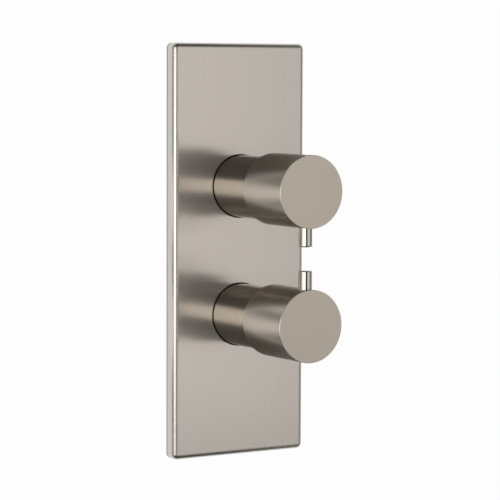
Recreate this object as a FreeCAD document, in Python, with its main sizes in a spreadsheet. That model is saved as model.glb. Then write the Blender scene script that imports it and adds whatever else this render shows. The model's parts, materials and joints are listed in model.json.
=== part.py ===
import FreeCAD, Part
import math
import os
import re
import Sketcher

# Twin concealed shower mixer: a wall plate with a flow control above and a temperature control below,
# and the brass valve that carries them inside the wall.
# Every piece is drawn in a wall frame: X to the right, Y up, Z out of the wall from its finished face.
# The same frame stands in the model with Z of the wall frame along -Y and Y of the wall frame along +Z.

DRIVING_SIZES = {
    # Front plate, its gasket and the rings that seal it on the sleeves
    "plate_width": 80.5,
    "plate_height": 220.0,
    "plate_depth": 8.0,
    "plate_sheet": 2.5,
    "plate_corner": 3.0,
    "plate_edge": 2.4,
    "gasket_width": 6.0,
    "hole_gap": 0.4,
    "plate_seal_section": 2.2,
    "plate_seal_back": 1.8,
    "plate_collar_wall": 1.8,
    "plate_collar_gap": 0.6,
    # Controls in front of the wall
    "control_spacing": 68.5,
    "sleeve_diameter": 33.0,
    "sleeve_wall": 1.5,
    "sleeve_overlap": 5.0,
    "handle_diameter": 37.5,
    "handle_back": 42.5,
    "handle_length": 36.0,
    "handle_gap": 0.7,
    "handle_front_solid": 12.0,
    "handle_front_skin": 2.4,
    "handle_edge": 0.4,
    "lever_diameter": 7.0,
    "lever_length": 9.5,
    "lever_setback": 5.6,
    "lever_sunk": 1.2,
    "lever_thread": 5.0,
    "lever_edge": 0.5,
    "grub_length": 5.0,
    "grub_socket": 2.5,
    # Spline drive between each handle and its spindle
    "insert_diameter": 13.0,
    "insert_barrel": 16.0,
    "insert_flange": 21.0,
    "insert_flange_thickness": 3.0,
    "insert_back": 55.0,
    "spline_tip": 4.0,
    "spline_root": 3.45,
    "spline_end": 71.0,
    # Parts common to both cartridges
    "spindle_diameter": 10.0,
    "spindle_shoulder": 54.0,
    "neck_diameter": 20.0,
    "neck_front": 50.0,
    "clip_thickness": 1.0,
    "clip_diameter": 15.0,
    "clip_groove": 8.4,
    "sleeve_seat": 18.0,
    "sleeve_thread": 10.0,
    "body_setback": 24.0,
    "ring_section": 1.8,
    "spindle_ring_front": 32.0,
    "spindle_ring_pitch": 8.0,
    "bonnet_ring_depth": 29.0,
    # Flow cartridge
    "flow_bore": 28.0,
    "flow_floor": 60.0,
    "flow_chamber": 18.0,
    "chamber_margin": 1.0,
    "flow_hex": 36.0,
    "hex_bevel": 30.0,
    "seat_seal_thickness": 2.5,
    "seat_seal_hole": 15.0,
    "disc_diameter": 22.0,
    "disc_thickness": 3.5,
    "disc_port_outer": 8.6,
    "disc_port_inner": 2.8,
    "disc_port_angle": 84.0,
    "driver_diameter": 19.0,
    "driver_thickness": 4.0,
    "driver_tang": 4.0,
    "driver_tang_height": 1.4,
    "slip_washer_thickness": 1.0,
    "flow_window": 4.0,
    # Thermostatic cartridge
    "thermo_bore": 36.0,
    "thermo_floor": 74.0,
    "thermo_hex": 42.0,
    "cage_front": 34.0,
    "cage_inner": 26.2,
    "cage_ledge_depth": 64.0,
    "cage_ledge_thickness": 2.0,
    "cage_ledge_hole": 16.0,
    "cold_port_depth": 44.5,
    "hot_port_depth": 55.5,
    "mixed_port_depth": 70.0,
    "cage_port": 5.0,
    "gallery_depth": 1.4,
    "cage_ring_front": 38.0,
    "cage_ring_pitch": 12.0,
    "nut_flats": 18.0,
    "nut_length": 13.0,
    "nut_depth": 33.0,
    "nut_room": 16.0,
    "nut_thread": 8.0,
    "spindle_collar": 14.0,
    "spindle_collar_thickness": 2.0,
    "cup_diameter": 17.0,
    "cup_bore": 13.0,
    "cup_length": 12.0,
    "cup_wall": 2.0,
    "cap_thickness": 1.7,
    "piston_diameter": 3.6,
    "piston_length": 3.0,
    "wax_neck": 8.0,
    "wax_neck_length": 5.0,
    "wax_flange": 14.0,
    "wax_flange_thickness": 2.0,
    "wax_bulb": 11.0,
    "wax_bulb_length": 14.0,
    "spool_length": 9.0,
    "spool_wall": 1.6,
    "spool_web": 2.0,
    "return_spring_diameter": 18.4,
    "return_spring_wire": 1.3,
    "return_spring_pitch": 3.2,
    "overtravel_spring_diameter": 10.0,
    "overtravel_spring_wire": 1.2,
    "overtravel_spring_pitch": 2.8,
    "stop_ring_diameter": 27.0,
    "stop_ring_length": 7.5,
    "stop_width": 4.0,
    "stop_inner": 10.6,
    "stop_height": 7.0,
    "stop_play": 1.0,
    "hot_limit": 45.0,
    "cold_limit": 135.0,
    # Valve body inside the wall
    "back_wall": 6.0,
    "barrel_wall": 5.0,
    "cast_edge": 1.5,
    "rib_width": 14.0,
    "rib_front": 40.0,
    "mixed_way": 11.0,
    "pipe_depth": 50.0,
    "arm_diameter": 32.0,
    "arm_reach": 42.0,
    "outlet_reach": 70.0,
    "inlet_way": 8.0,
    "outlet_way": 14.0,
    "lug_height": 2.0,
    "lug_spacing": 68.0,
    "lug_diameter": 19.0,
    "lug_thickness": 7.0,
    "lug_hole": 6.5,
    # Unions, filters and check valves
    "union_spigot": 22.0,
    "union_spigot_length": 14.0,
    "union_ring_depth": 6.0,
    "union_hex": 30.0,
    "union_hex_length": 9.0,
    "union_socket": 28.0,
    "union_length": 25.0,
    "union_thread": 18.6,
    "union_thread_length": 15.0,
    "union_way": 16.0,
    "filter_thickness": 0.8,
    "filter_hole": 2.0,
    "filter_ring": 3.2,
    "check_front": 8.0,
    "check_length": 17.0,
    "check_seat": 10.0,
    "check_seat_length": 3.0,
    "check_room": 13.2,
    "check_web": 2.0,
    "check_guide": 3.4,
    "check_hole": 2.6,
    "poppet_head": 11.8,
    "poppet_head_length": 1.3,
    "poppet_cone_length": 1.2,
    "poppet_stem": 2.8,
    "poppet_stem_length": 10.5,
    "check_spring_diameter": 6.8,
    "check_spring_wire": 0.7,
    "check_spring_pitch": 2.8,
    # Clearances between pieces that fit one another, measured on the radius
    "fit_clearance": 0.05,
    "slide_clearance": 0.15,
    "seat_clearance": 0.1,
}

SPLINE_TEETH = 20
HEXAGON = 6
CAGE_PORTS = 6
WEB_HOLES = 6
FLOW_WINDOWS = 4
DISC_PORTS = 2
FILTER_RINGS = 2
QUARTERS = 4

document = FreeCAD.newDocument("shower_mixer")
sheet = document.addObject("Spreadsheet::Sheet", "Sizes")
for row, (name, number) in enumerate(DRIVING_SIZES.items(), start=1):
    sheet.set(f"A{row}", name)
    sheet.set(f"B{row}", str(number))
    sheet.setAlias(f"B{row}", name)
document.recompute()

pieces = []


def in_sheet(expression):
    """Point every size that an expression names at its cell in the sheet."""

    def cell(match):
        word = match.group()
        return f"Sizes.{word}" if word in DRIVING_SIZES else word

    return re.sub(r"[a-z][a-z0-9_]*", cell, expression)


def size(expression):
    """Work out an expression of driving sizes."""
    return float(sheet.evalExpression(in_sheet(expression)))


def bind(item, place, expression):
    """Drive one property of an item by an expression of driving sizes."""
    item.setExpression(place, in_sheet(expression))


def own_plane(body, role):
    """Give one of a body's own origin planes."""
    return next(plane for plane in body.Origin.OriginFeatures if plane.Role == role)


def new_sketch(body, role, lift="0"):
    """Start a sketch on one of a body's own planes, lifted along the plane's normal."""
    sketch = body.newObject("Sketcher::SketchObject", f"{body.Name}_sketch")
    sketch.AttachmentSupport = [(own_plane(body, role), "")]
    sketch.MapMode = "FlatFace"
    bind(sketch, "AttachmentOffset.Base.z", lift)
    return sketch


def add_outline(sketch, corners):
    """Draw a closed outline of straight sides and tie each corner to the sheet."""
    first = sketch.GeometryCount
    spots = [FreeCAD.Vector(size(across), size(along), 0) for across, along in corners]
    for here, there in zip(spots, spots[1:] + spots[:1]):
        sketch.addGeometry(Part.LineSegment(here, there), False)
    for number, (across, along) in enumerate(corners):
        side = first + number
        following = first + (number + 1) % len(corners)
        sketch.addConstraint(Sketcher.Constraint("Coincident", side, 2, following, 1))
        for kind, expression in (("DistanceX", across), ("DistanceY", along)):
            tie = sketch.addConstraint(Sketcher.Constraint(kind, -1, 1, side, 1, size(expression)))
            bind(sketch, f"Constraints[{tie}]", expression)


def add_circle(sketch, across, along, radius):
    """Draw a circle and tie its centre and radius to the sheet."""
    centre = FreeCAD.Vector(size(across), size(along), 0)
    circle = sketch.addGeometry(Part.Circle(centre, FreeCAD.Vector(0, 0, 1), size(radius)), False)
    for kind, expression in (("DistanceX", across), ("DistanceY", along)):
        tie = sketch.addConstraint(Sketcher.Constraint(kind, -1, 1, circle, 3, size(expression)))
        bind(sketch, f"Constraints[{tie}]", expression)
    tie = sketch.addConstraint(Sketcher.Constraint("Radius", circle, size(radius)))
    bind(sketch, f"Constraints[{tie}]", radius)


def rectangle(half_width, half_height):
    """Corners of a rectangle about the origin of its sketch."""
    return [
        (f"-({half_width})", f"-({half_height})"),
        (f"{half_width}", f"-({half_height})"),
        (f"{half_width}", f"{half_height}"),
        (f"-({half_width})", f"{half_height}"),
    ]


def star(tip, root, points):
    """Corners of a star about the origin, which alternate between two radii."""
    corners = []
    for number in range(2 * points):
        radius = root if number % 2 else tip
        angle = 180 * number / points
        corners.append((f"({radius}) * cos({angle})", f"({radius}) * sin({angle})"))
    return corners


def hexagon(flats):
    """Corners of a regular hexagon about the origin, given the distance across its flats."""
    corners = []
    for number in range(HEXAGON):
        angle = 360 * number / HEXAGON
        radius = f"({flats}) / 2 / cos({180 / HEXAGON})"
        corners.append((f"{radius} * cos({angle})", f"{radius} * sin({angle})"))
    return corners


def new_body(label):
    """Start a body that is named for its piece."""
    body = document.addObject("PartDesign::Body", label)
    body.Label = label
    return body


def raise_pad(body, sketch, length):
    """Add material from a sketch along the normal of its plane."""
    pad = body.newObject("PartDesign::Pad", f"{body.Name}_pad")
    pad.Profile = sketch
    bind(pad, "Length", length)
    return pad


def sink_pocket(body, sketch, length, along_normal=False):
    """Take material away from a sketch, against the normal of its plane unless told otherwise."""
    document.recompute()
    before = body.Shape.Volume
    pocket = body.newObject("PartDesign::Pocket", f"{body.Name}_pocket")
    pocket.Profile = sketch
    pocket.Reversed = along_normal
    bind(pocket, "Length", length)
    document.recompute()
    if body.Shape.Volume >= before:
        raise RuntimeError(f"a pocket of {body.Label} cuts nothing")
    return pocket


def repeat_round(body, feature, copies):
    """Repeat a feature evenly round the body's own Z axis."""
    pattern = body.newObject("PartDesign::PolarPattern", f"{body.Name}_pattern")
    pattern.Originals = [feature]
    axis = next(line for line in body.Origin.OriginFeatures if line.Role == "Z_Axis")
    pattern.Axis = (axis, [""])
    pattern.Angle = 360
    pattern.Occurrences = copies
    body.Tip = pattern
    return pattern


def turn_profile(body, corners, lift="0"):
    """Add a solid of revolution about the Z axis; corners are (radius, distance along the axis)."""
    sketch = new_sketch(body, "XZ_Plane", lift)
    add_outline(sketch, corners)
    turned = body.newObject("PartDesign::Revolution", f"{body.Name}_turned")
    turned.Profile = sketch
    turned.ReferenceAxis = (sketch, ["V_Axis"])
    turned.Angle = 360
    return turned


def cut_groove(body, corners, lift="0"):
    """Cut a turned groove about the Z axis, or about an axis beside it at a lift along -Y."""
    sketch = new_sketch(body, "XZ_Plane", lift)
    add_outline(sketch, corners)
    groove = body.newObject("PartDesign::Groove", f"{body.Name}_groove")
    groove.Profile = sketch
    groove.ReferenceAxis = (sketch, ["V_Axis"])
    groove.Angle = 360
    return groove


def turned_body(label, corners):
    """Make a piece that is one turning."""
    body = new_body(label)
    turn_profile(body, corners)
    return body


def band(inner, outer, back, front):
    """Corners of a plain ring's section."""
    return [(inner, back), (outer, back), (outer, front), (inner, front)]


def arc_between(start, corner, finish):
    """Make the arc that leaves a start towards a corner and arrives at its finish from that corner."""
    chord_middle = (start + finish) / 2
    cosine = (finish - start).Length / 2 / (corner - start).Length
    crown = chord_middle + (corner - chord_middle) * (cosine / (1 + cosine))
    return Part.Arc(start, crown, finish).toShape()


def biarc(start, start_way, finish, finish_way):
    """Join two points by two arcs that share their tangent and keep the direction at each end."""
    gap = finish - start
    ways = start_way + finish_way
    bend = ways.dot(ways) - 4
    along = gap.dot(ways)
    reach = (along - math.sqrt(along * along - bend * gap.dot(gap))) / bend
    first_corner = start + start_way * reach
    last_corner = finish - finish_way * reach
    meeting = (first_corner + last_corner) / 2
    return [arc_between(start, first_corner, meeting), arc_between(meeting, last_corner, finish)]


def coil_body(label, diameter, wire, pitch, back, front):
    """Make a round-wire coil spring that runs between two stops along the Z axis."""
    radius = size(f"{diameter} / 2")
    thickness = size(wire)
    first = size(f"{back} + {wire} / 2 + seat_clearance")
    rise = size(f"{front} - {back} - {wire} - 2 * seat_clearance")
    quarters = max(QUARTERS, round(QUARTERS * rise / size(pitch)))
    spots = []
    for number in range(quarters + 1):
        angle = 2 * math.pi * number / QUARTERS
        height = first + rise * number / quarters
        spot = FreeCAD.Vector(radius * math.cos(angle), radius * math.sin(angle), height)
        climb = rise / quarters * QUARTERS / (2 * math.pi)
        way = FreeCAD.Vector(-radius * math.sin(angle), radius * math.cos(angle), climb).normalize()
        spots.append((spot, way))
    edges = []
    for (start, start_way), (finish, finish_way) in zip(spots, spots[1:]):
        edges += biarc(start, start_way, finish, finish_way)
    section = Part.Wire(Part.makeCircle(thickness / 2, *spots[0]))
    coil = document.addObject("Part::Feature", label)
    coil.Label = label
    coil.Shape = Part.Wire(edges).makePipeShell([section], True, False)
    print(label, "gap between turns", round(rise / quarters * QUARTERS - thickness, 2))
    return coil


def primitive(kind, name, across="0", up="0", out="0", **expressions):
    """Make a Part primitive whose place and sizes follow the sheet."""
    item = document.addObject(kind, name)
    for place, expression in (("x", across), ("y", up), ("z", out)):
        bind(item, f"Placement.Base.{place}", expression)
    for place, expression in expressions.items():
        bind(item, place, expression)
    return item


def rod(name, radius, length, direction, across="0", up="0", out="0"):
    """Make a round bar that starts at a spot and runs out of the wall, to the right or up."""
    item = primitive("Part::Cylinder", name, across, up, out, Radius=radius, Height=length)
    item.Placement.Rotation = DIRECTIONS[direction]
    return item


def cast_bar(name, radius, length, direction, across="0", up="0", out="0"):
    """Make a round bar like a rod, with the rim of each end taken off as on a casting."""
    rim = f"{radius} - cast_edge"
    item = turned_body(name, [
        ("0", "0"),
        (rim, "0"),
        (radius, "cast_edge"),
        (radius, f"{length} - cast_edge"),
        (rim, length),
        ("0", length),
    ])
    item.Placement.Rotation = DIRECTIONS[direction]
    for place, expression in (("x", across), ("y", up), ("z", out)):
        bind(item, f"Placement.Base.{place}", expression)
    return item


def joined(name, items):
    """Fuse items into one."""
    fuse = document.addObject("Part::MultiFuse", name)
    fuse.Shapes = items
    fuse.Refine = True
    return fuse


def cut_from(name, base, tool):
    """Cut one item out of another."""
    cut = document.addObject("Part::Cut", name)
    cut.Base = base
    cut.Tool = tool
    cut.Refine = True
    cut.Label = name
    return cut


X_AXIS = FreeCAD.Vector(1, 0, 0)
Y_AXIS = FreeCAD.Vector(0, 1, 0)
Z_AXIS = FreeCAD.Vector(0, 0, 1)
DIRECTIONS = {
    "out": FreeCAD.Rotation(),
    "right": FreeCAD.Rotation(Y_AXIS, 90),
    "up": FreeCAD.Rotation(X_AXIS, -90),
}
OUT_OF_WALL = FreeCAD.Rotation(X_AXIS, 90)
POINTING_DOWN = OUT_OF_WALL * FreeCAD.Rotation(Z_AXIS, 180)


def seat(item, height="0", rotation=OUT_OF_WALL):
    """Stand a piece in the model, at a height above the plate's middle."""
    item.Placement = FreeCAD.Placement(FreeCAD.Vector(), rotation)
    bind(item, "Placement.Base.z", height)
    pieces.append(item)


def seat_at(item, rotation, across, back, height):
    """Turn an item and place it, given how far right, behind the wall and up it lies."""
    item.Placement = FreeCAD.Placement(FreeCAD.Vector(), rotation)
    bind(item, "Placement.Base.x", across)
    bind(item, "Placement.Base.y", back)
    bind(item, "Placement.Base.z", height)


# Sizes that several pieces share
CONTROL_HEIGHTS = {"flow": "control_spacing / 2", "temp": "-control_spacing / 2"}
LEVER_TURNS = {"flow": POINTING_DOWN, "temp": OUT_OF_WALL}
SLEEVE_RADIUS = "(sleeve_diameter / 2)"
SLEEVE_BORE = "(sleeve_diameter / 2 - sleeve_wall)"
SLEEVE_FRONT = "(handle_back + sleeve_overlap)"
HOLE_RADIUS = "(sleeve_diameter / 2 + hole_gap)"
PLATE_INSIDE = "(plate_depth - plate_sheet)"
PLATE_GROOVE = "(sleeve_diameter / 2 + plate_seal_section + 2 * fit_clearance)"
PLATE_SEAL_FRONT = "(plate_seal_back + plate_seal_section)"
HANDLE_RADIUS = "(handle_diameter / 2)"
HANDLE_BORE = "(sleeve_diameter / 2 + handle_gap)"
HANDLE_FRONT = "(handle_back + handle_length)"
HANDLE_FLOOR = f"({HANDLE_FRONT} - handle_front_solid)"
INSERT_FRONT = f"({HANDLE_FRONT} - handle_front_skin)"
INSERT_RADIUS = "(insert_diameter / 2)"
LEVER_OUT = f"({HANDLE_FRONT} - lever_setback)"
LEVER_SEAT = f"({HANDLE_RADIUS} - lever_sunk)"
SPINDLE_RADIUS = "(spindle_diameter / 2)"
SPINDLE_BORE = "(spindle_diameter / 2 + fit_clearance)"
SPINDLE_GROOVE = "(spindle_diameter / 2 - ring_section)"
CLIP_BACK = "(neck_front + seat_clearance)"
CLIP_FRONT = f"({CLIP_BACK} + clip_thickness)"
COLLAR_RADIUS = f"({SLEEVE_BORE} - fit_clearance)"
COLLAR_FRONT = "(sleeve_thread - sleeve_seat)"
FLOW_RADIUS = "(flow_bore / 2 - fit_clearance)"
THERMO_RADIUS = "(thermo_bore / 2 - fit_clearance)"
FIXED_DISC_BACK = "(seat_seal_thickness - flow_floor)"
MOVING_DISC_BACK = f"({FIXED_DISC_BACK} + disc_thickness)"
DRIVER_BACK = f"({MOVING_DISC_BACK} + disc_thickness)"
DRIVER_FRONT = f"({DRIVER_BACK} + driver_thickness)"
FLOW_SHOULDER = f"({DRIVER_FRONT} + slip_washer_thickness)"
CHAMBER_BACK = "(-flow_floor - mixed_way - 2 * chamber_margin)"
BODY_BACK = f"(min(-thermo_floor; {CHAMBER_BACK}) - back_wall)"
SKIRT_BORE = "(disc_diameter / 2 + seat_clearance)"
NUT_BACK = "(-nut_depth)"
NUT_FRONT = "(nut_length - nut_depth)"
CUP_BACK = "(-nut_depth - cup_length)"
CUP_FLOOR = "(-nut_depth - cup_wall)"
CAP_FRONT = f"({CUP_BACK} + cap_thickness)"
WAX_NECK_FRONT = f"({CUP_BACK} - piston_length)"
WAX_NECK_BACK = f"({WAX_NECK_FRONT} - wax_neck_length)"
WAX_FLANGE_BACK = f"({WAX_NECK_BACK} - wax_flange_thickness)"
PORT_MIDDLE = "(-(cold_port_depth + hot_port_depth) / 2)"
CAGE_BORE = "(cage_inner / 2)"
SPOOL_RADIUS = "(cage_inner / 2 - fit_clearance)"
LEDGE_FRONT = "(-cage_ledge_depth)"
LEDGE_BACK = "(-cage_ledge_depth - cage_ledge_thickness)"
STOP_RING_BACK = "(insert_back - stop_height - seat_clearance - stop_ring_length - stop_play)"
STOP_RING_FRONT = f"({STOP_RING_BACK} + stop_ring_length)"


def ring_notch(radius, floor, middle):
    """Corners of a seal groove on an outside face, listed from back to front."""
    half = "(ring_section / 2 + seat_clearance)"
    return [
        (radius, f"{middle} - {half}"),
        (floor, f"{middle} - {half}"),
        (floor, f"{middle} + {half}"),
        (radius, f"{middle} + {half}"),
    ]


def seal_ring(label, inner, middle):
    """Make a square-section sealing ring about the Z axis, on a groove floor of the given radius."""
    half = "ring_section / 2"
    near = f"({inner} + fit_clearance)"
    far = f"({inner} + ring_section - fit_clearance)"
    return turned_body(label, band(near, far, f"{middle} - {half}", f"{middle} + {half}"))


def compound(label, items):
    """Gather like rings into one piece of separate solids."""
    group = document.addObject("Part::Compound", label)
    group.Label = label
    group.Links = items
    return group


def edges_along(feature, direction):
    """Name the straight edges of a feature that run along a direction."""
    names = []
    for number, edge in enumerate(feature.Shape.Edges, start=1):
        run = edge.lastVertex().Point - edge.firstVertex().Point
        if run.Length > 0 and abs(abs(run.normalize().dot(direction)) - 1) < 1e-6:
            names.append(f"Edge{number}")
    return names


def edges_at_front(feature):
    """Name the edges of a feature that lie wholly in its foremost plane."""
    front = feature.Shape.BoundBox.ZMax
    names = []
    for number, edge in enumerate(feature.Shape.Edges, start=1):
        if edge.BoundBox.ZMin > front - 1e-4:
            names.append(f"Edge{number}")
    return names


def round_edges(body, feature, names, radius):
    """Round named edges of the last feature of a body."""
    fillet = body.newObject("PartDesign::Fillet", f"{body.Name}_fillet")
    fillet.Base = (feature, names)
    bind(fillet, "Radius", radius)
    document.recompute()
    return fillet


def build_plate():
    """Hollow plate with rounded edges, a collar behind each hole and a groove for its seal."""
    body = new_body("wall_plate")
    face = new_sketch(body, "XY_Plane")
    add_outline(face, rectangle("plate_width / 2", "plate_height / 2"))
    block = raise_pad(body, face, "plate_depth")
    document.recompute()
    corners = round_edges(body, block, edges_along(block, Z_AXIS), "plate_corner")
    round_edges(body, corners, edges_at_front(corners), "plate_edge")
    hollow = new_sketch(body, "XY_Plane")
    add_outline(hollow, rectangle("plate_width / 2 - plate_sheet", "plate_height / 2 - plate_sheet"))
    sink_pocket(body, hollow, PLATE_INSIDE, along_normal=True)
    collars = new_sketch(body, "XY_Plane", "plate_collar_gap")
    holes = new_sketch(body, "XY_Plane")
    for height in CONTROL_HEIGHTS.values():
        add_circle(collars, "0", height, f"{PLATE_GROOVE} + plate_collar_wall")
        add_circle(holes, "0", height, HOLE_RADIUS)
    raise_pad(body, collars, f"{PLATE_INSIDE} - plate_collar_gap + plate_sheet / 2")
    sink_pocket(body, holes, "plate_depth", along_normal=True)
    for height in CONTROL_HEIGHTS.values():
        room = band(SLEEVE_RADIUS, PLATE_GROOVE, "plate_seal_back - seat_clearance",
                    f"{PLATE_SEAL_FRONT} + seat_clearance")
        cut_groove(body, room, f"-({height})")
    seat(body)


def build_gasket():
    """Soft frame inside the plate's rim that seals it to the wall."""
    body = new_body("plate_gasket")
    sketch = new_sketch(body, "XY_Plane")
    for inset in ("(plate_sheet + seat_clearance)", "(plate_sheet + seat_clearance + gasket_width)"):
        add_outline(sketch, rectangle(f"plate_width / 2 - {inset}", f"plate_height / 2 - {inset}"))
    raise_pad(body, sketch, PLATE_INSIDE)
    seat(body)


def build_control_front(side):
    """Seal, sleeve, handle, lever pin, grub screw and spline insert of one control."""
    height = CONTROL_HEIGHTS[side]
    turn = LEVER_TURNS[side]
    near = f"({SLEEVE_RADIUS} + fit_clearance)"
    far = f"({near} + plate_seal_section)"
    seal = band(near, far, "plate_seal_back", PLATE_SEAL_FRONT)
    sleeve = band(SLEEVE_BORE, SLEEVE_RADIUS, "-sleeve_seat", SLEEVE_FRONT)
    seat(turned_body(f"{side}_plate_seal", seal), height)
    seat(turned_body(f"{side}_sleeve", sleeve), height)
    seat(handle_body(f"{side}_handle"), height, turn)
    lever = turned_body(f"{side}_lever_pin", [
        ("0", f"{INSERT_RADIUS} + grub_length + seat_clearance"),
        ("lever_thread / 2 - fit_clearance", f"{INSERT_RADIUS} + grub_length + seat_clearance"),
        ("lever_thread / 2 - fit_clearance", LEVER_SEAT),
        ("lever_diameter / 2", LEVER_SEAT),
        ("lever_diameter / 2", f"{HANDLE_RADIUS} + lever_length - lever_edge"),
        ("lever_diameter / 2 - lever_edge", f"{HANDLE_RADIUS} + lever_length"),
        ("0", f"{HANDLE_RADIUS} + lever_length"),
    ])
    grub = turned_body(f"{side}_grub_screw", [
        ("0", INSERT_RADIUS),
        ("lever_thread / 2 - fit_clearance", INSERT_RADIUS),
        ("lever_thread / 2 - fit_clearance", f"{INSERT_RADIUS} + grub_length"),
        ("grub_socket / 2", f"{INSERT_RADIUS} + grub_length"),
        ("grub_socket / 2", f"{INSERT_RADIUS} + grub_length / 2"),
        ("0", f"{INSERT_RADIUS} + grub_length / 2"),
    ])
    up_or_down = FreeCAD.Rotation(X_AXIS, 180) if side == "flow" else FreeCAD.Rotation()
    for screw in (lever, grub):
        seat_at(screw, up_or_down, "0", f"-{LEVER_OUT}", height)
        pieces.append(screw)
    seat(insert_body(side), height, turn)


def handle_body(label):
    """Turned handle, hollow over its sleeve, with a spline socket and a threaded lever hole at the top."""
    body = turned_body(label, [
        ("0", INSERT_FRONT),
        (f"{INSERT_RADIUS} + fit_clearance", INSERT_FRONT),
        (f"{INSERT_RADIUS} + fit_clearance", HANDLE_FLOOR),
        (HANDLE_BORE, HANDLE_FLOOR),
        (HANDLE_BORE, "handle_back"),
        (f"{HANDLE_RADIUS} - handle_edge", "handle_back"),
        (HANDLE_RADIUS, "handle_back + handle_edge"),
        (HANDLE_RADIUS, f"{HANDLE_FRONT} - handle_edge"),
        (f"{HANDLE_RADIUS} - handle_edge", HANDLE_FRONT),
        ("0", HANDLE_FRONT),
    ])
    thread = new_sketch(body, "XZ_Plane")
    add_circle(thread, "0", LEVER_OUT, "lever_thread / 2")
    sink_pocket(body, thread, HANDLE_RADIUS)
    spot_face = new_sketch(body, "XZ_Plane", f"-{LEVER_SEAT}")
    add_circle(spot_face, "0", LEVER_OUT, "lever_diameter / 2 + fit_clearance")
    sink_pocket(body, spot_face, "lever_sunk")
    return body


def insert_body(side):
    """Spline insert that seats in the handle; the temperature one carries the finger of the heat stop."""
    bore = "(insert_barrel / 2)"
    flange_back = f"({HANDLE_FLOOR} - insert_flange_thickness)"
    body = turned_body(f"{side}_spline_insert", [
        ("0", "insert_back"),
        (bore, "insert_back"),
        (bore, flange_back),
        ("insert_flange / 2", flange_back),
        ("insert_flange / 2", HANDLE_FLOOR),
        (INSERT_RADIUS, HANDLE_FLOOR),
        (INSERT_RADIUS, f"{INSERT_FRONT} - seat_clearance"),
        ("0", f"{INSERT_FRONT} - seat_clearance"),
    ])
    if side == "temp":
        arm = new_sketch(body, "XY_Plane", "insert_back")
        add_outline(arm, stop_block("0"))
        raise_pad(body, arm, "insert_flange_thickness")
        finger = new_sketch(body, "XY_Plane", "insert_back - stop_height")
        add_outline(finger, stop_block("stop_inner"))
        raise_pad(body, finger, "stop_height")
    socket = new_sketch(body, "XY_Plane", "insert_back")
    tip = "spline_tip + fit_clearance"
    root = "spline_root + fit_clearance"
    add_outline(socket, star(tip, root, SPLINE_TEETH))
    sink_pocket(body, socket, "spline_end + seat_clearance - insert_back", along_normal=True)
    return body


def stop_block(inner):
    """Corners of a stop block that points up from the axis."""
    half = "stop_width / 2"
    outer = "stop_ring_diameter / 2"
    return [(f"-{half}", inner), (half, inner), (half, outer), (f"-{half}", outer)]


def build_stop_ring():
    """Ring on the temperature neck with a block at each end of the handle's travel."""
    body = turned_body("temp_stop_ring", band(
        "neck_diameter / 2 + fit_clearance", "stop_ring_diameter / 2", STOP_RING_BACK, STOP_RING_FRONT))
    spread = "2 * atan(stop_width / 2 / stop_inner) + stop_play * 1 deg"
    for limit in (f"hot_limit * 1 deg + {spread}", f"-(cold_limit * 1 deg + {spread})"):
        sketch = new_sketch(body, "XY_Plane", STOP_RING_FRONT)
        add_outline(sketch, stop_block("stop_inner"))
        bind(sketch, "AttachmentOffset.Rotation.Angle", limit)
        raise_pad(body, sketch, "stop_height")
    seat(body, CONTROL_HEIGHTS["temp"])


def spindle_front():
    """Corners of a spindle from its shoulder to its spline, with seal and clip grooves."""
    corners = []
    for step in (1, 0):
        middle = f"(spindle_ring_front - {step} * spindle_ring_pitch)"
        corners += ring_notch(SPINDLE_RADIUS, SPINDLE_GROOVE, middle)
    corners += [
        (SPINDLE_RADIUS, CLIP_BACK),
        ("clip_groove / 2", CLIP_BACK),
        ("clip_groove / 2", f"{CLIP_FRONT} + seat_clearance"),
        (SPINDLE_RADIUS, f"{CLIP_FRONT} + seat_clearance"),
        (SPINDLE_RADIUS, "spindle_shoulder"),
        ("0", "spindle_shoulder"),
    ]
    return corners


def spindle_body(label, back_corners):
    """Turned spindle with a splined end."""
    body = turned_body(label, back_corners + spindle_front())
    spline = new_sketch(body, "XY_Plane", "spindle_shoulder")
    add_outline(spline, star("spline_tip", "spline_root", SPLINE_TEETH))
    raise_pad(body, spline, "spline_end - spindle_shoulder")
    return body


def build_cartridge_front(side):
    """Clip and seals on the front of one spindle."""
    height = CONTROL_HEIGHTS[side]
    clip = band("clip_groove / 2 + fit_clearance", "clip_diameter / 2", CLIP_BACK, CLIP_FRONT)
    seat(turned_body(f"{side}_spindle_clip", clip), height)
    rings = []
    for step in (0, 1):
        middle = f"(spindle_ring_front - {step} * spindle_ring_pitch)"
        rings.append(seal_ring(f"{side}_spindle_ring_{step}", SPINDLE_GROOVE, middle))
    seat(compound(f"{side}_spindle_seals", rings), height)


def bonnet_body(label, inside, radius, flats):
    """Turned bonnet: a plug in the body, a hexagon, a thread for the sleeve and a neck for the spindle."""
    corners = inside["back"]
    corners += ring_notch(radius, f"({radius} - ring_section)", "(-bonnet_ring_depth)")
    corners += [
        (radius, "-body_setback"),
        (COLLAR_RADIUS, "-body_setback"),
        (COLLAR_RADIUS, COLLAR_FRONT),
        ("neck_diameter / 2", COLLAR_FRONT),
        ("neck_diameter / 2", "neck_front"),
        (SPINDLE_BORE, "neck_front"),
    ]
    corners += inside["front"]
    body = turned_body(label, corners)
    flange = new_sketch(body, "XY_Plane", "-body_setback")
    add_outline(flange, hexagon(flats))
    add_circle(flange, "0", "0", f"({COLLAR_RADIUS} - sleeve_wall)")
    raise_pad(body, flange, "body_setback - sleeve_seat")
    past_corners = f"({flats} / 2 / cos({180 / HEXAGON}) + chamber_margin)"
    cut_groove(body, [
        (f"{flats} / 2", "-sleeve_seat"),
        (past_corners, f"-sleeve_seat - ({past_corners} - {flats} / 2) * tan(hex_bevel)"),
        (past_corners, "-sleeve_seat"),
    ])
    return body


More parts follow.
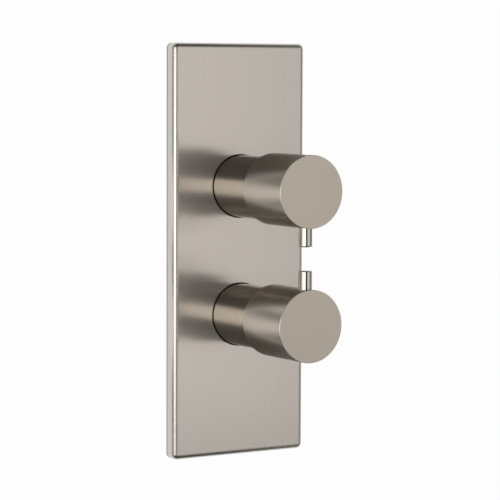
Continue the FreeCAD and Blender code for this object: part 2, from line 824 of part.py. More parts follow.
def build_flow_cartridge():
    """Quarter-turn cartridge: two ceramic discs, clamped between the body's floor and the bonnet."""
    height = CONTROL_HEIGHTS["flow"]
    bonnet = bonnet_body("flow_bonnet", {
        "back": [(SKIRT_BORE, FIXED_DISC_BACK), (FLOW_RADIUS, FIXED_DISC_BACK)],
        "front": [(SPINDLE_BORE, FLOW_SHOULDER), (SKIRT_BORE, FLOW_SHOULDER)],
    }, FLOW_RADIUS, "flow_hex")
    window = new_sketch(bonnet, "XZ_Plane")
    add_circle(window, "0", f"({DRIVER_BACK} + {DRIVER_FRONT}) / 2", "flow_window / 2")
    repeat_round(bonnet, sink_pocket(bonnet, window, "flow_bore / 2"), FLOW_WINDOWS)
    seat(bonnet, height)
    ring = seal_ring("flow_bonnet_seal", f"({FLOW_RADIUS} - ring_section)", "(-bonnet_ring_depth)")
    seat(ring, height)
    spindle = spindle_body("flow_spindle", [
        ("0", DRIVER_BACK),
        ("driver_diameter / 2", DRIVER_BACK),
        ("driver_diameter / 2", DRIVER_FRONT),
        (SPINDLE_RADIUS, DRIVER_FRONT),
    ])
    tang = new_sketch(spindle, "XY_Plane", f"{DRIVER_BACK} - driver_tang_height")
    add_outline(tang, rectangle("driver_tang / 2", "disc_port_outer"))
    raise_pad(spindle, tang, "driver_tang_height")
    seat(spindle, height)
    washer = band(f"{SPINDLE_RADIUS} + slide_clearance", "driver_diameter / 2", DRIVER_FRONT, FLOW_SHOULDER)
    seat(turned_body("flow_slip_washer", washer), height)
    moving = disc_body("flow_moving_disc", MOVING_DISC_BACK, "90")
    slot = new_sketch(moving, "XY_Plane", DRIVER_BACK)
    add_outline(slot, rectangle("driver_tang / 2 + seat_clearance", "disc_port_outer + seat_clearance"))
    sink_pocket(moving, slot, "driver_tang_height + seat_clearance")
    seat(moving, height)
    seat(disc_body("flow_fixed_disc", FIXED_DISC_BACK, "0"), height)
    seal = band("seat_seal_hole / 2", "disc_diameter / 2", "-flow_floor", FIXED_DISC_BACK)
    seat(turned_body("flow_seat_seal", seal), height)


def disc_body(label, back, turn):
    """Ceramic disc with two ports on opposite sides; a turn of 90 degrees shuts it against its mate."""
    body = turned_body(label, [
        ("0", back),
        ("disc_diameter / 2", back),
        ("disc_diameter / 2", f"{back} + disc_thickness"),
        ("0", f"{back} + disc_thickness"),
    ])
    port = new_sketch(body, "XY_Plane", back)
    half = "(disc_port_angle / 2)"
    corners = []
    for radius, side in (("inner", "-"), ("outer", "-"), ("outer", ""), ("inner", "")):
        spoke = f"({side}{half} + {turn})"
        corners.append((f"disc_port_{radius} * cos({spoke})", f"disc_port_{radius} * sin({spoke})"))
    add_outline(port, corners)
    repeat_round(body, sink_pocket(body, port, "disc_thickness", along_normal=True), DISC_PORTS)
    return body


def build_thermostat():
    """Wax thermostat: a screw moves the nut, which carries the wax element and the mixing spool."""
    height = CONTROL_HEIGHTS["temp"]
    bonnet = bonnet_body("temp_bonnet", {
        "back": [(SPINDLE_BORE, "-cage_front"), (THERMO_RADIUS, "-cage_front")],
        "front": [],
    }, THERMO_RADIUS, "thermo_hex")
    room = new_sketch(bonnet, "XY_Plane", "-cage_front")
    add_outline(room, hexagon("nut_flats + 2 * slide_clearance"))
    sink_pocket(bonnet, room, "cage_front - nut_room", along_normal=True)
    seat(bonnet, height)
    ring = seal_ring("temp_bonnet_seal", f"({THERMO_RADIUS} - ring_section)", "(-bonnet_ring_depth)")
    seat(ring, height)
    collar_back = "(-nut_room - spindle_collar_thickness)"
    seat(spindle_body("temp_spindle", [
        ("0", f"{NUT_BACK} + cup_wall"),
        ("nut_thread / 2", f"{NUT_BACK} + cup_wall"),
        ("nut_thread / 2", collar_back),
        ("spindle_collar / 2", collar_back),
        ("spindle_collar / 2", "-nut_room"),
        (SPINDLE_RADIUS, "-nut_room"),
    ]), height)
    seat(nut_body(), height)
    seat(turned_body("temp_overtravel_cap", [
        ("0", CUP_BACK),
        ("cup_bore / 2 - slide_clearance", CUP_BACK),
        ("cup_bore / 2 - slide_clearance", CAP_FRONT),
        ("0", CAP_FRONT),
    ]), height)
    seat(coil_body("temp_overtravel_spring", "overtravel_spring_diameter", "overtravel_spring_wire",
                   "overtravel_spring_pitch", CAP_FRONT, CUP_FLOOR), height)
    seat(turned_body("temp_wax_element", [
        ("0", CUP_BACK),
        ("piston_diameter / 2", CUP_BACK),
        ("piston_diameter / 2", WAX_NECK_FRONT),
        ("wax_neck / 2", WAX_NECK_FRONT),
        ("wax_neck / 2", WAX_NECK_BACK),
        ("wax_flange / 2", WAX_NECK_BACK),
        ("wax_flange / 2", WAX_FLANGE_BACK),
        ("wax_bulb / 2", WAX_FLANGE_BACK),
        ("wax_bulb / 2", f"{WAX_FLANGE_BACK} - wax_bulb_length"),
        ("0", f"{WAX_FLANGE_BACK} - wax_bulb_length"),
    ]), height)
    seat(spool_body(), height)
    seat(coil_body("temp_return_spring", "return_spring_diameter", "return_spring_wire",
                   "return_spring_pitch", LEDGE_FRONT, WAX_NECK_BACK), height)
    build_cage(height)


def nut_body():
    """Hexagonal drive nut with a cup behind it for the overtravel spring."""
    body = turned_body("temp_drive_nut", [
        ("0", NUT_BACK),
        ("cup_diameter / 2", NUT_BACK),
        ("cup_diameter / 2", CUP_BACK),
        ("cup_bore / 2", CUP_BACK),
        ("cup_bore / 2", CUP_FLOOR),
        ("0", CUP_FLOOR),
    ])
    flats = new_sketch(body, "XY_Plane", NUT_BACK)
    add_outline(flats, hexagon("nut_flats"))
    raise_pad(body, flats, "nut_length")
    thread = new_sketch(body, "XY_Plane", NUT_FRONT)
    add_circle(thread, "0", "0", "nut_thread / 2 + fit_clearance")
    sink_pocket(body, thread, "nut_length")
    return body


def spool_body():
    """Mixing spool: a ring that slides over the ports, on a pierced web round the wax element."""
    back = f"({PORT_MIDDLE} - spool_length / 2)"
    front = f"({PORT_MIDDLE} + spool_length / 2)"
    inner = f"({SPOOL_RADIUS} - spool_wall)"
    hub = "(wax_neck / 2 + fit_clearance)"
    web_front = f"({WAX_NECK_BACK} + spool_web)"
    body = turned_body("temp_mixing_spool", [
        (hub, WAX_NECK_BACK),
        (inner, WAX_NECK_BACK),
        (inner, back),
        (SPOOL_RADIUS, back),
        (SPOOL_RADIUS, front),
        (inner, front),
        (inner, web_front),
        (hub, web_front),
    ])
    hole = new_sketch(body, "XY_Plane", WAX_NECK_BACK)
    add_circle(hole, f"({inner} + wax_flange / 2) / 2", "0", f"({inner} - wax_flange / 2) / 3")
    repeat_round(body, sink_pocket(body, hole, "spool_web", along_normal=True), WEB_HOLES)
    return body


def build_cage(height):
    """Port cage round the spool, with cold, hot and mixed-water ports and three seals."""
    gallery = f"({THERMO_RADIUS} - gallery_depth)"
    groove = f"({THERMO_RADIUS} - ring_section)"
    middles = [f"(-cage_ring_front - {step} * cage_ring_pitch)" for step in (0, 1, 2)]
    corners = [(CAGE_BORE, "-thermo_floor"), (THERMO_RADIUS, "-thermo_floor")]
    corners += ring_notch(THERMO_RADIUS, groove, middles[2])
    for port, middle in (("hot", middles[1]), ("cold", middles[0])):
        for radius, edge in ((THERMO_RADIUS, "-"), (gallery, "-"), (gallery, "+"), (THERMO_RADIUS, "+")):
            corners.append((radius, f"-{port}_port_depth {edge} cage_port / 2"))
        corners += ring_notch(THERMO_RADIUS, groove, middle)
    corners += [
        (THERMO_RADIUS, "-cage_front"),
        (CAGE_BORE, "-cage_front"),
        (CAGE_BORE, LEDGE_FRONT),
        ("cage_ledge_hole / 2", LEDGE_FRONT),
        ("cage_ledge_hole / 2", LEDGE_BACK),
        (CAGE_BORE, LEDGE_BACK),
    ]
    body = turned_body("temp_port_cage", corners)
    for port in ("cold", "hot", "mixed"):
        sketch = new_sketch(body, "XZ_Plane")
        add_circle(sketch, "0", f"-{port}_port_depth", "cage_port / 2 - seat_clearance")
        repeat_round(body, sink_pocket(body, sketch, "thermo_bore / 2"), CAGE_PORTS)
    seat(body, height)
    rings = []
    for number, middle in enumerate(middles):
        rings.append(seal_ring(f"temp_cage_ring_{number}", groove, middle))
    seat(compound("temp_cage_seals", rings), height)


def build_valve_body():
    """Brass casting: two barrels, the mixed-water way between them, three arms and two fixing lugs."""
    flow = CONTROL_HEIGHTS["flow"]
    temp = CONTROL_HEIGHTS["temp"]
    depth = f"-body_setback - {BODY_BACK}"
    back = BODY_BACK
    arm = "arm_diameter / 2"
    socket = "union_spigot / 2"
    pipes = "-pipe_depth"
    deep = "union_spigot_length + seat_clearance"
    way_out = "-flow_floor - mixed_way / 2 - chamber_margin"
    rib = primitive("Part::Box", "rib", "-rib_width / 2", temp, back,
                    Length="rib_width", Width="control_spacing", Height=f"-rib_front - {BODY_BACK}")
    lug = primitive("Part::Box", "lug", "-lug_spacing / 2", "lug_height - lug_diameter / 2", back,
                    Length="lug_spacing", Width="lug_diameter", Height="lug_thickness")
    metal = [
        cast_bar("flow_barrel", "flow_bore / 2 + barrel_wall", depth, "out", up=flow, out=back),
        cast_bar("temp_barrel", "thermo_bore / 2 + barrel_wall", depth, "out", up=temp, out=back),
        cast_bar("inlet_arms", arm, "2 * arm_reach", "right", "-arm_reach", temp, pipes),
        cast_bar("outlet_arm", arm, "outlet_reach - control_spacing / 2", "up", "0", flow, pipes),
        rib,
        lug,
    ]
    space = [
        rod("flow_seat", "flow_bore / 2", "flow_floor", "out", up=flow, out="-flow_floor"),
        rod("flow_room", "flow_chamber / 2", "flow_floor", "out", up=flow, out=CHAMBER_BACK),
        rod("temp_seat", "thermo_bore / 2", "thermo_floor", "out", up=temp, out="-thermo_floor"),
        rod("mixed_way", "mixed_way / 2", "control_spacing", "up", "0", temp, way_out),
        rod("outlet_way", "outlet_way / 2", "outlet_reach - control_spacing / 2", "up", "0", flow, pipes),
        rod("outlet_socket", socket, deep, "up", "0", f"outlet_reach - ({deep})", pipes),
    ]
    for port, side, start in (("hot", "left", "-arm_reach"), ("cold", "right", f"arm_reach - ({deep})")):
        space.append(rod(f"{port}_socket", socket, deep, "right", start, temp, pipes))
        begin = "-arm_reach" if side == "left" else "0"
        level = f"-{port}_port_depth"
        space.append(rod(f"{port}_way", "inlet_way / 2", "arm_reach", "right", begin, temp, level))
    for number, side in enumerate(("-", "")):
        spot = f"{side}lug_spacing / 2"
        for kind, group in (("diameter", metal), ("hole", space)):
            round_bar = rod(f"lug_{kind}_{number}", f"lug_{kind} / 2", "lug_thickness", "out",
                            spot, "lug_height", back)
            group.append(round_bar)
    seat(cut_from("valve_body", joined("casting", metal), joined("waterways", space)))


UNIONS = {
    "hot": (FreeCAD.Rotation(Y_AXIS, -90), "-arm_reach", "pipe_depth", "-control_spacing / 2"),
    "cold": (FreeCAD.Rotation(Y_AXIS, 90), "arm_reach", "pipe_depth", "-control_spacing / 2"),
    "outlet": (FreeCAD.Rotation(), "0", "pipe_depth", "outlet_reach"),
}
SPIGOT_RADIUS = "(union_spigot / 2 - fit_clearance)"
THREAD_FLOOR = "(union_length - union_thread_length)"
UNION_GROOVE = f"({SPIGOT_RADIUS} - ring_section)"
CHECK_BACK = "(check_front - check_length)"
CHECK_SEAT = "(check_front - check_seat_length)"
WEB_FRONT = f"({CHECK_BACK} + check_web)"
POPPET_FRONT = f"({CHECK_SEAT} - seat_clearance)"
POPPET_RIM = f"({POPPET_FRONT} - poppet_head_length)"
POPPET_NECK = f"({POPPET_RIM} - poppet_cone_length)"


def build_union(port):
    """Pipe union: a spigot in the arm, a hexagon and a threaded socket for the pipe."""
    corners = [("union_way / 2", "-union_spigot_length"), (SPIGOT_RADIUS, "-union_spigot_length")]
    corners += ring_notch(SPIGOT_RADIUS, UNION_GROOVE, "(-union_ring_depth)")
    corners += [
        (SPIGOT_RADIUS, "0"),
        ("union_socket / 2", "0"),
        ("union_socket / 2", "union_length"),
        ("union_thread / 2", "union_length"),
        ("union_thread / 2", THREAD_FLOOR),
        ("union_way / 2", THREAD_FLOOR),
    ]
    body = turned_body(f"{port}_union", corners)
    flats = new_sketch(body, "XY_Plane")
    add_outline(flats, hexagon("union_hex"))
    add_circle(flats, "0", "0", SPIGOT_RADIUS)
    raise_pad(body, flats, "union_hex_length")
    place_on_union(body, port)
    ring = seal_ring(f"{port}_union_ring", UNION_GROOVE, "(-union_ring_depth)")
    seat_at(ring, *UNIONS[port])
    return ring


def place_on_union(item, port):
    """Stand a piece on the axis of a union, with Z out of its socket and zero at the arm's end."""
    seat_at(item, *UNIONS[port])
    pieces.append(item)


def build_inlet(port):
    """Filter and check valve inside an inlet union."""
    filter_back = f"({THREAD_FLOOR} - filter_thickness)"
    mesh = turned_body(f"{port}_filter", [
        ("0", filter_back),
        ("union_way / 2 - fit_clearance", filter_back),
        ("union_way / 2 - fit_clearance", THREAD_FLOOR),
        ("0", THREAD_FLOOR),
    ])
    for ring in range(1, FILTER_RINGS + 1):
        hole = new_sketch(mesh, "XY_Plane", filter_back)
        add_circle(hole, f"{ring} * filter_ring", "0", "filter_hole / 2")
        repeat_round(mesh, sink_pocket(mesh, hole, "filter_thickness", along_normal=True), HEXAGON * ring)
    place_on_union(mesh, port)
    housing = turned_body(f"{port}_check_housing", [
        ("check_guide / 2", CHECK_BACK),
        ("union_way / 2 - fit_clearance", CHECK_BACK),
        ("union_way / 2 - fit_clearance", "check_front"),
        ("check_seat / 2", "check_front"),
        ("check_seat / 2", CHECK_SEAT),
        ("check_room / 2", CHECK_SEAT),
        ("check_room / 2", WEB_FRONT),
        ("check_guide / 2", WEB_FRONT),
    ])
    hole = new_sketch(housing, "XY_Plane", CHECK_BACK)
    add_circle(hole, "(check_room + check_guide) / 4", "0", "check_hole / 2")
    repeat_round(housing, sink_pocket(housing, hole, "check_web", along_normal=True), WEB_HOLES)
    place_on_union(housing, port)
    place_on_union(turned_body(f"{port}_check_poppet", [
        ("0", POPPET_FRONT),
        ("poppet_head / 2", POPPET_FRONT),
        ("poppet_head / 2", POPPET_RIM),
        ("poppet_stem / 2", POPPET_NECK),
        ("poppet_stem / 2", f"{POPPET_NECK} - poppet_stem_length"),
        ("0", f"{POPPET_NECK} - poppet_stem_length"),
    ]), port)
    place_on_union(coil_body(f"{port}_check_spring", "check_spring_diameter", "check_spring_wire",
                             "check_spring_pitch", WEB_FRONT, POPPET_NECK), port)


def build_unions():
    """All three unions, with their seals gathered into one piece."""
    rings = [build_union(port) for port in UNIONS]
    group = compound("union_seals", rings)
    pieces.append(group)
    for port in ("hot", "cold"):
        build_inlet(port)


def export_pieces():
    """Check every object and write each piece to its own file."""
    document.recompute()
    for item in document.Objects:
        if "Invalid" in item.State or "Error" in item.State:
            raise RuntimeError(f"{item.Name} did not compute")
    os.makedirs("parts", exist_ok=True)
    for piece in pieces:
        if piece.Shape.isNull() or not piece.Shape.isValid():
            raise RuntimeError(f"{piece.Label} has no sound shape")
        piece.Shape.exportStep(f"parts/{piece.Label}.step")
        print(piece.Label, len(piece.Shape.Solids), round(piece.Shape.Volume, 1))
    print(len(pieces), "pieces")


build_plate()
build_gasket()
for control in CONTROL_HEIGHTS:
    build_control_front(control)
    build_cartridge_front(control)
build_flow_cartridge()
build_thermostat()
build_stop_ring()
build_valve_body()
build_unions()
export_pieces()
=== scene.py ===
"""Looks of a twin concealed shower mixer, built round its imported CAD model."""
import json
import logging
import math
from dataclasses import dataclass
from enum import Enum
from typing import Any, Callable, ClassVar, Iterable, Sequence

import bmesh
import bpy
from mathutils import Matrix, Quaternion, Vector


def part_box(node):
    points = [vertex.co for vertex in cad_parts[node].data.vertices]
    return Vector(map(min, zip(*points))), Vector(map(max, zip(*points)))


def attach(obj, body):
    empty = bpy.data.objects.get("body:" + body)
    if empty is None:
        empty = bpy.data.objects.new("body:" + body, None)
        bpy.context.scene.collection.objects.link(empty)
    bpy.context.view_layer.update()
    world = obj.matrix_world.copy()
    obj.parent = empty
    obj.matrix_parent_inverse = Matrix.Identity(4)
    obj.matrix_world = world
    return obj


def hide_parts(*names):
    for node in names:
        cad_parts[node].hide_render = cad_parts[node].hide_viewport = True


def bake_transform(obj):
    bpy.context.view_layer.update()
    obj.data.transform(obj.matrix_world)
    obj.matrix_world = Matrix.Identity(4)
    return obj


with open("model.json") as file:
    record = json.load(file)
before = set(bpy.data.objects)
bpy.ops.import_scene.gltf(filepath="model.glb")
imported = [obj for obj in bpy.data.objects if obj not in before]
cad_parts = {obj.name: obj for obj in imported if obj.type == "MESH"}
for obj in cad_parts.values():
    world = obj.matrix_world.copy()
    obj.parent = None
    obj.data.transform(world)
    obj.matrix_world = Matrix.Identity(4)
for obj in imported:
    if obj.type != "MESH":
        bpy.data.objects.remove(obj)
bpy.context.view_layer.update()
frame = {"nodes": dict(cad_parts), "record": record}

MM = 0.001
ROUND = 2 * math.pi
SEGMENTS = 192
ARC_STEPS = 8
SMOOTH_ANGLE = math.radians(28)

Colour = tuple[float, float, float]
Spot = tuple[float, float, float]

log = logging.getLogger("shower_mixer")


class Side(Enum):
    """The two controls, by the word that their CAD nodes start with."""

    FLOW = "flow"
    TEMP = "temp"


class Grain(Enum):
    """Which way a finish was rubbed, as noise cycles per metre along X, Y and Z."""

    UPRIGHT = (5200.0, 5200.0, 14.0)
    ROUND_OUT = (30.0, 2600.0, 30.0)
    ROUND_ACROSS = (2600.0, 30.0, 30.0)
    ROUND_UP = (30.0, 30.0, 2600.0)
    EVEN = (900.0, 900.0, 900.0)


class Port(Enum):
    """The pipe unions: the way that each points, and the way that a corner of its hexagon points."""

    HOT = ((-1.0, 0.0, 0.0), (0.0, 0.0, 1.0))
    COLD = ((1.0, 0.0, 0.0), (0.0, 0.0, 1.0))
    OUTLET = ((0.0, 0.0, 1.0), (1.0, 0.0, 0.0))

    @property
    def node(self) -> str:
        """Give the union's CAD node."""
        return f"{self.name.lower()}_union"

    @property
    def finish(self) -> str:
        """Give the finish whose tool lines run round the union."""
        return "upright_union_brass" if self is Port.OUTLET else "level_union_brass"


class Ends(Enum):
    """How the first and last loops of a turned surface are closed."""

    CAPPED = "capped"
    LOOPED = "looped"


class Wire:
    """An output of a shader node that takes part in sums as a number does."""

    def __init__(self, graph: "Graph", socket: bpy.types.NodeSocket) -> None:
        """Keep the socket and the graph that it belongs to."""
        self.graph = graph
        self.socket = socket

    def maths(self, operation: str, *terms: "Wire | float") -> "Wire":
        """Add a Math node.

        Args:
            operation: The node's operation.
            terms: Its inputs in order, as wires or numbers.

        Returns:
            The node's result.
        """
        return self.graph.node("ShaderNodeMath", {"operation": operation}, dict(enumerate(terms)))

    def __add__(self, other: "Wire | float") -> "Wire":
        """Give self + other."""
        return self.maths("ADD", self, other)

    def __radd__(self, other: float) -> "Wire":
        """Give other + self."""
        return self.maths("ADD", other, self)

    def __sub__(self, other: "Wire | float") -> "Wire":
        """Give self - other."""
        return self.maths("SUBTRACT", self, other)

    def __rsub__(self, other: float) -> "Wire":
        """Give other - self."""
        return self.maths("SUBTRACT", other, self)

    def __mul__(self, other: "Wire | float") -> "Wire":
        """Give self * other."""
        return self.maths("MULTIPLY", self, other)

    def __abs__(self) -> "Wire":
        """Give the size of the value without its sign."""
        return self.maths("ABSOLUTE", self)

    def larger(self, other: "Wire | float") -> "Wire":
        """Give the larger of two values."""
        return self.maths("MAXIMUM", self, other)

    def swing(self, amount: float) -> "Wire":
        """Turn a noise into a swing about 0, as far apart at its ends as the amount."""
        return (self - 0.5) * amount

    def step_between(self, low: float, high: float) -> "Wire":
        """Rise smoothly from 0 at low to 1 at high.

        Args:
            low: Value where the rise starts.
            high: Value where it ends.

        Returns:
            The rise, held between 0 and 1.
        """
        settings = {"interpolation_type": "SMOOTHSTEP"}
        return self.graph.node("ShaderNodeMapRange", settings,
                               {"Value": self, "From Min": low, "From Max": high})


class Graph:
    """The node tree of one material or of the world."""

    def __init__(self, owner: bpy.types.Material | bpy.types.World) -> None:
        """Start with an empty tree."""
        owner.use_nodes = True
        self.tree = owner.node_tree
        self.tree.nodes.clear()

    def node(self, kind: str, settings: dict[str, Any] | None = None,
             inputs: dict[str | int, Any] | None = None, output: str | int = 0) -> Wire:
        """Add any node.

        Args:
            kind: The node's type.
            settings: Its own settings, which are set first.
            inputs: Values or wires for its sockets, by name or number.
            output: The output that is wanted.

        Returns:
            That output, or the first input of a node that has none.
        """
        made = self.tree.nodes.new(kind)
        for name, value in (settings or {}).items():
            setattr(made, name, value)
        for name, value in (inputs or {}).items():
            if isinstance(value, Wire):
                self.tree.links.new(value.socket, made.inputs[name])
            else:
                made.inputs[name].default_value = value
        return Wire(self, made.outputs[output] if made.outputs else made.inputs[0])

    def place(self) -> Wire:
        """Give the place on the piece, in metres."""
        return self.node("ShaderNodeTexCoord", output="Object")

    def noise(self, cycles: Sequence[float], detail: float = 2.0) -> Wire:
        """Add soft noise over the piece.

        Args:
            cycles: Noise cycles per metre along X, Y and Z.
            detail: How many finer layers are added.

        Returns:
            A value around 0.5.
        """
        spread = self.node("ShaderNodeVectorMath", {"operation": "MULTIPLY"}, {0: self.place(), 1: cycles})
        return self.node("ShaderNodeTexNoise", inputs={"Vector": spread, "Scale": 1.0, "Detail": detail})

    def clouds(self, cycles: float, detail: float = 2.0) -> Wire:
        """Add soft noise that is as wide one way as another.

        Args:
            cycles: Noise cycles per metre.
            detail: How many finer layers are added.

        Returns:
            A value around 0.5.
        """
        return self.noise((cycles, cycles, cycles), detail)

    def along(self, axis: str) -> Wire:
        """Give the place along one axis, in metres."""
        return self.node("ShaderNodeSeparateXYZ", inputs={"Vector": self.place()}, output=axis)

    def shaded(self, colour: Colour, shade: Wire) -> Wire:
        """Scale a colour by a value."""
        return self.node("ShaderNodeVectorMath", {"operation": "SCALE"}, {0: colour, "Scale": shade})

    def blended(self, share: Wire, first: Colour | Wire, second: Colour | Wire) -> Wire:
        """Mix two colours.

        Args:
            share: How much of the second colour is taken.
            first: Colour where the share is 0.
            second: Colour where the share is 1.

        Returns:
            The mixed colour.
        """
        both = {0: share, 6: opaque(first), 7: opaque(second)}
        return self.node("ShaderNodeMix", {"data_type": "RGBA"}, both, 2)

    def relief(self, height: Wire, depth: float) -> Wire:
        """Raise the surface by a height map.

        Args:
            height: The map, from 0 to 1.
            depth: How far the map's whole range stands out, in metres.

        Returns:
            The normal.
        """
        return self.node("ShaderNodeBump", inputs={"Height": height, "Distance": depth}, output="Normal")

    def mix(self, share: Wire, first: Wire, second: Wire) -> Wire:
        """Mix two shaders.

        Args:
            share: How much of the second shader is taken.
            first: Shader where the share is 0.
            second: Shader where the share is 1.

        Returns:
            The mixed shader.
        """
        return self.node("ShaderNodeMixShader", inputs={0: share, 1: first, 2: second})

    def finish(self, kind: str, shader: Wire) -> None:
        """Join a shader to the output node of the material or world."""
        self.node(kind, inputs={"Surface": shader})

    def surface(self, **inputs: Any) -> None:
        """Make a Principled surface; each word names a socket, with _ for a space."""
        named = {name.replace("_", " "): value for name, value in inputs.items()}
        self.finish("ShaderNodeOutputMaterial", self.node("ShaderNodeBsdfPrincipled", inputs=named))


def opaque(colour: Colour | Wire) -> tuple[float, ...] | Wire:
    """Add full opacity to a plain colour, and leave a wire as it is."""
    return colour if isinstance(colour, Wire) else (*colour, 1.0)


@dataclass(frozen=True)
class Finish:
    """What every finish has: a name, a colour and a gloss."""

    name: str
    colour: Colour
    roughness: float

    def material(self) -> bpy.types.Material:
        """Make the material."""
        made = bpy.data.materials.new(self.name)
        self.paint(Graph(made))
        return made

    def paint(self, graph: Graph) -> None:
        """Fill the material's graph."""
        raise NotImplementedError


@dataclass(frozen=True)
class BrushedMetal(Finish):
    """Metal rubbed one way: fine lines, and slow changes of gloss along them.

    The smear is how much further mirrored shapes blur across the lines than along them.
    """

    CLOUD_CYCLES: ClassVar[float] = 35.0
    SHADE_SWING: ClassVar[float] = 0.05
    LINE_GLOSS: ClassVar[float] = 0.04
    CLOUD_GLOSS: ClassVar[float] = 0.05
    LINE_DEPTH: ClassVar[float] = 0.00006 * MM
    grain: Grain
    metal: float = 1.0
    smear: float = 0.0

    def paint(self, graph: Graph) -> None:
        """Fill the material's graph."""
        lines = graph.noise(self.grain.value, detail=3.0)
        clouds = graph.clouds(self.CLOUD_CYCLES)
        shade = 1.0 + lines.swing(self.SHADE_SWING) + clouds.swing(self.SHADE_SWING)
        gloss = self.roughness + lines.swing(self.LINE_GLOSS) + clouds.swing(self.CLOUD_GLOSS)
        graph.surface(Base_Color=graph.shaded(self.colour, shade), Metallic=self.metal, Roughness=gloss,
                      Anisotropic=self.smear, Normal=graph.relief(lines, self.LINE_DEPTH))


@dataclass(frozen=True)
class PolishedMetal(Finish):
    """Bright plated metal with faint handling marks."""

    MARK_CYCLES: ClassVar[float] = 420.0
    MARK_GLOSS: ClassVar[float] = 0.05
    HAZE_CYCLES: ClassVar[float] = 90.0
    HAZE_SWING: ClassVar[float] = 0.08

    def paint(self, graph: Graph) -> None:
        """Fill the material's graph."""
        marks = graph.clouds(self.MARK_CYCLES, detail=4.0)
        haze = 1.0 + graph.clouds(self.HAZE_CYCLES).swing(self.HAZE_SWING)
        graph.surface(Base_Color=graph.shaded(self.colour, haze), Metallic=1.0,
                      Roughness=self.roughness + marks * self.MARK_GLOSS)


@dataclass(frozen=True)
class TurnedMetal(Finish):
    """Machined metal with tool lines, slightly dulled in patches."""

    PATCH_CYCLES: ClassVar[float] = 55.0
    PATCH_FROM: ClassVar[float] = 0.42
    PATCH_TO: ClassVar[float] = 0.7
    DULLING: ClassVar[float] = 0.12
    LINE_DEPTH: ClassVar[float] = 0.002 * MM
    grain: Grain
    dull: Colour

    def paint(self, graph: Graph) -> None:
        """Fill the material's graph."""
        lines = graph.noise(self.grain.value)
        patches = graph.clouds(self.PATCH_CYCLES, detail=5.0).step_between(self.PATCH_FROM, self.PATCH_TO)
        graph.surface(Base_Color=graph.blended(patches, self.colour, self.dull), Metallic=1.0,
                      Roughness=self.roughness + lines * self.DULLING + patches * self.DULLING,
                      Normal=graph.relief(lines, self.LINE_DEPTH))


@dataclass(frozen=True)
class CastMetal(Finish):
    """Sand-cast metal: a grainy skin with darker hollows, and bright faces where it was machined."""

    SKIN_CYCLES: ClassVar[float] = 1100.0
    SKIN_GLOSS: ClassVar[float] = 0.2
    SKIN_DEPTH: ClassVar[float] = 0.12 * MM
    STAIN_CYCLES: ClassVar[float] = 70.0
    STAIN_FROM: ClassVar[float] = 0.4
    STAIN_TO: ClassVar[float] = 0.75
    CUT_EDGE: ClassVar[float] = 0.05 * MM
    CUT_GLOSS: ClassVar[float] = 0.25
    dark: Colour
    machined: Colour
    arm_end: float
    outlet_end: float
    front_face: float

    def paint(self, graph: Graph) -> None:
        """Fill the material's graph."""
        skin = graph.clouds(self.SKIN_CYCLES, detail=4.0)
        stains = graph.clouds(self.STAIN_CYCLES, detail=6.0).step_between(self.STAIN_FROM, self.STAIN_TO)
        places = (
            (abs(graph.along("X")), self.arm_end),
            (graph.along("Z"), self.outlet_end),
            (0.0 - graph.along("Y"), -self.front_face),
        )
        arms, outlet, front = (place.step_between(end - self.CUT_EDGE, end) for place, end in places)
        cut = arms.larger(outlet).larger(front)
        rough_skin = graph.blended(stains, self.colour, self.dark)
        graph.surface(Base_Color=graph.blended(cut, rough_skin, self.machined), Metallic=1.0,
                      Roughness=self.roughness + skin.swing(self.SKIN_GLOSS) - cut * self.CUT_GLOSS,
                      Normal=graph.relief(skin * (1.0 - cut), self.SKIN_DEPTH))


@dataclass(frozen=True)
class Rubber(Finish):
    """Moulded rubber with a fine matt grain and a dusting on it."""

    GRAIN_CYCLES: ClassVar[float] = 3000.0
    GRAIN_GLOSS: ClassVar[float] = 0.15
    GRAIN_DEPTH: ClassVar[float] = 0.03 * MM
    DUST_CYCLES: ClassVar[float] = 120.0
    DUST_FROM: ClassVar[float] = 0.45
    DUST_TO: ClassVar[float] = 0.8
    DUST_SHARE: ClassVar[float] = 0.25
    dust: Colour

    def paint(self, graph: Graph) -> None:
        """Fill the material's graph."""
        grain = graph.clouds(self.GRAIN_CYCLES)
        specks = graph.clouds(self.DUST_CYCLES, detail=5.0).step_between(self.DUST_FROM, self.DUST_TO)
        graph.surface(Base_Color=graph.blended(specks * self.DUST_SHARE, self.colour, self.dust),
                      Roughness=self.roughness + grain * self.GRAIN_GLOSS,
                      Normal=graph.relief(grain, self.GRAIN_DEPTH))


@dataclass(frozen=True)
class Moulding(Finish):
    """Moulded plastic or pressed ceramic with a faint mottle."""

    FINE_CYCLES: ClassVar[float] = 1600.0
    FINE_GLOSS: ClassVar[float] = 0.1
    FINE_DEPTH: ClassVar[float] = 0.01 * MM
    BROAD_CYCLES: ClassVar[float] = 140.0
    mottle: float

    def paint(self, graph: Graph) -> None:
        """Fill the material's graph."""
        fine = graph.clouds(self.FINE_CYCLES, detail=3.0)
        shade = 1.0 + graph.clouds(self.BROAD_CYCLES, detail=4.0).swing(self.mottle)
        graph.surface(Base_Color=graph.shaded(self.colour, shade),
                      Roughness=self.roughness + fine * self.FINE_GLOSS,
                      Normal=graph.relief(fine, self.FINE_DEPTH))


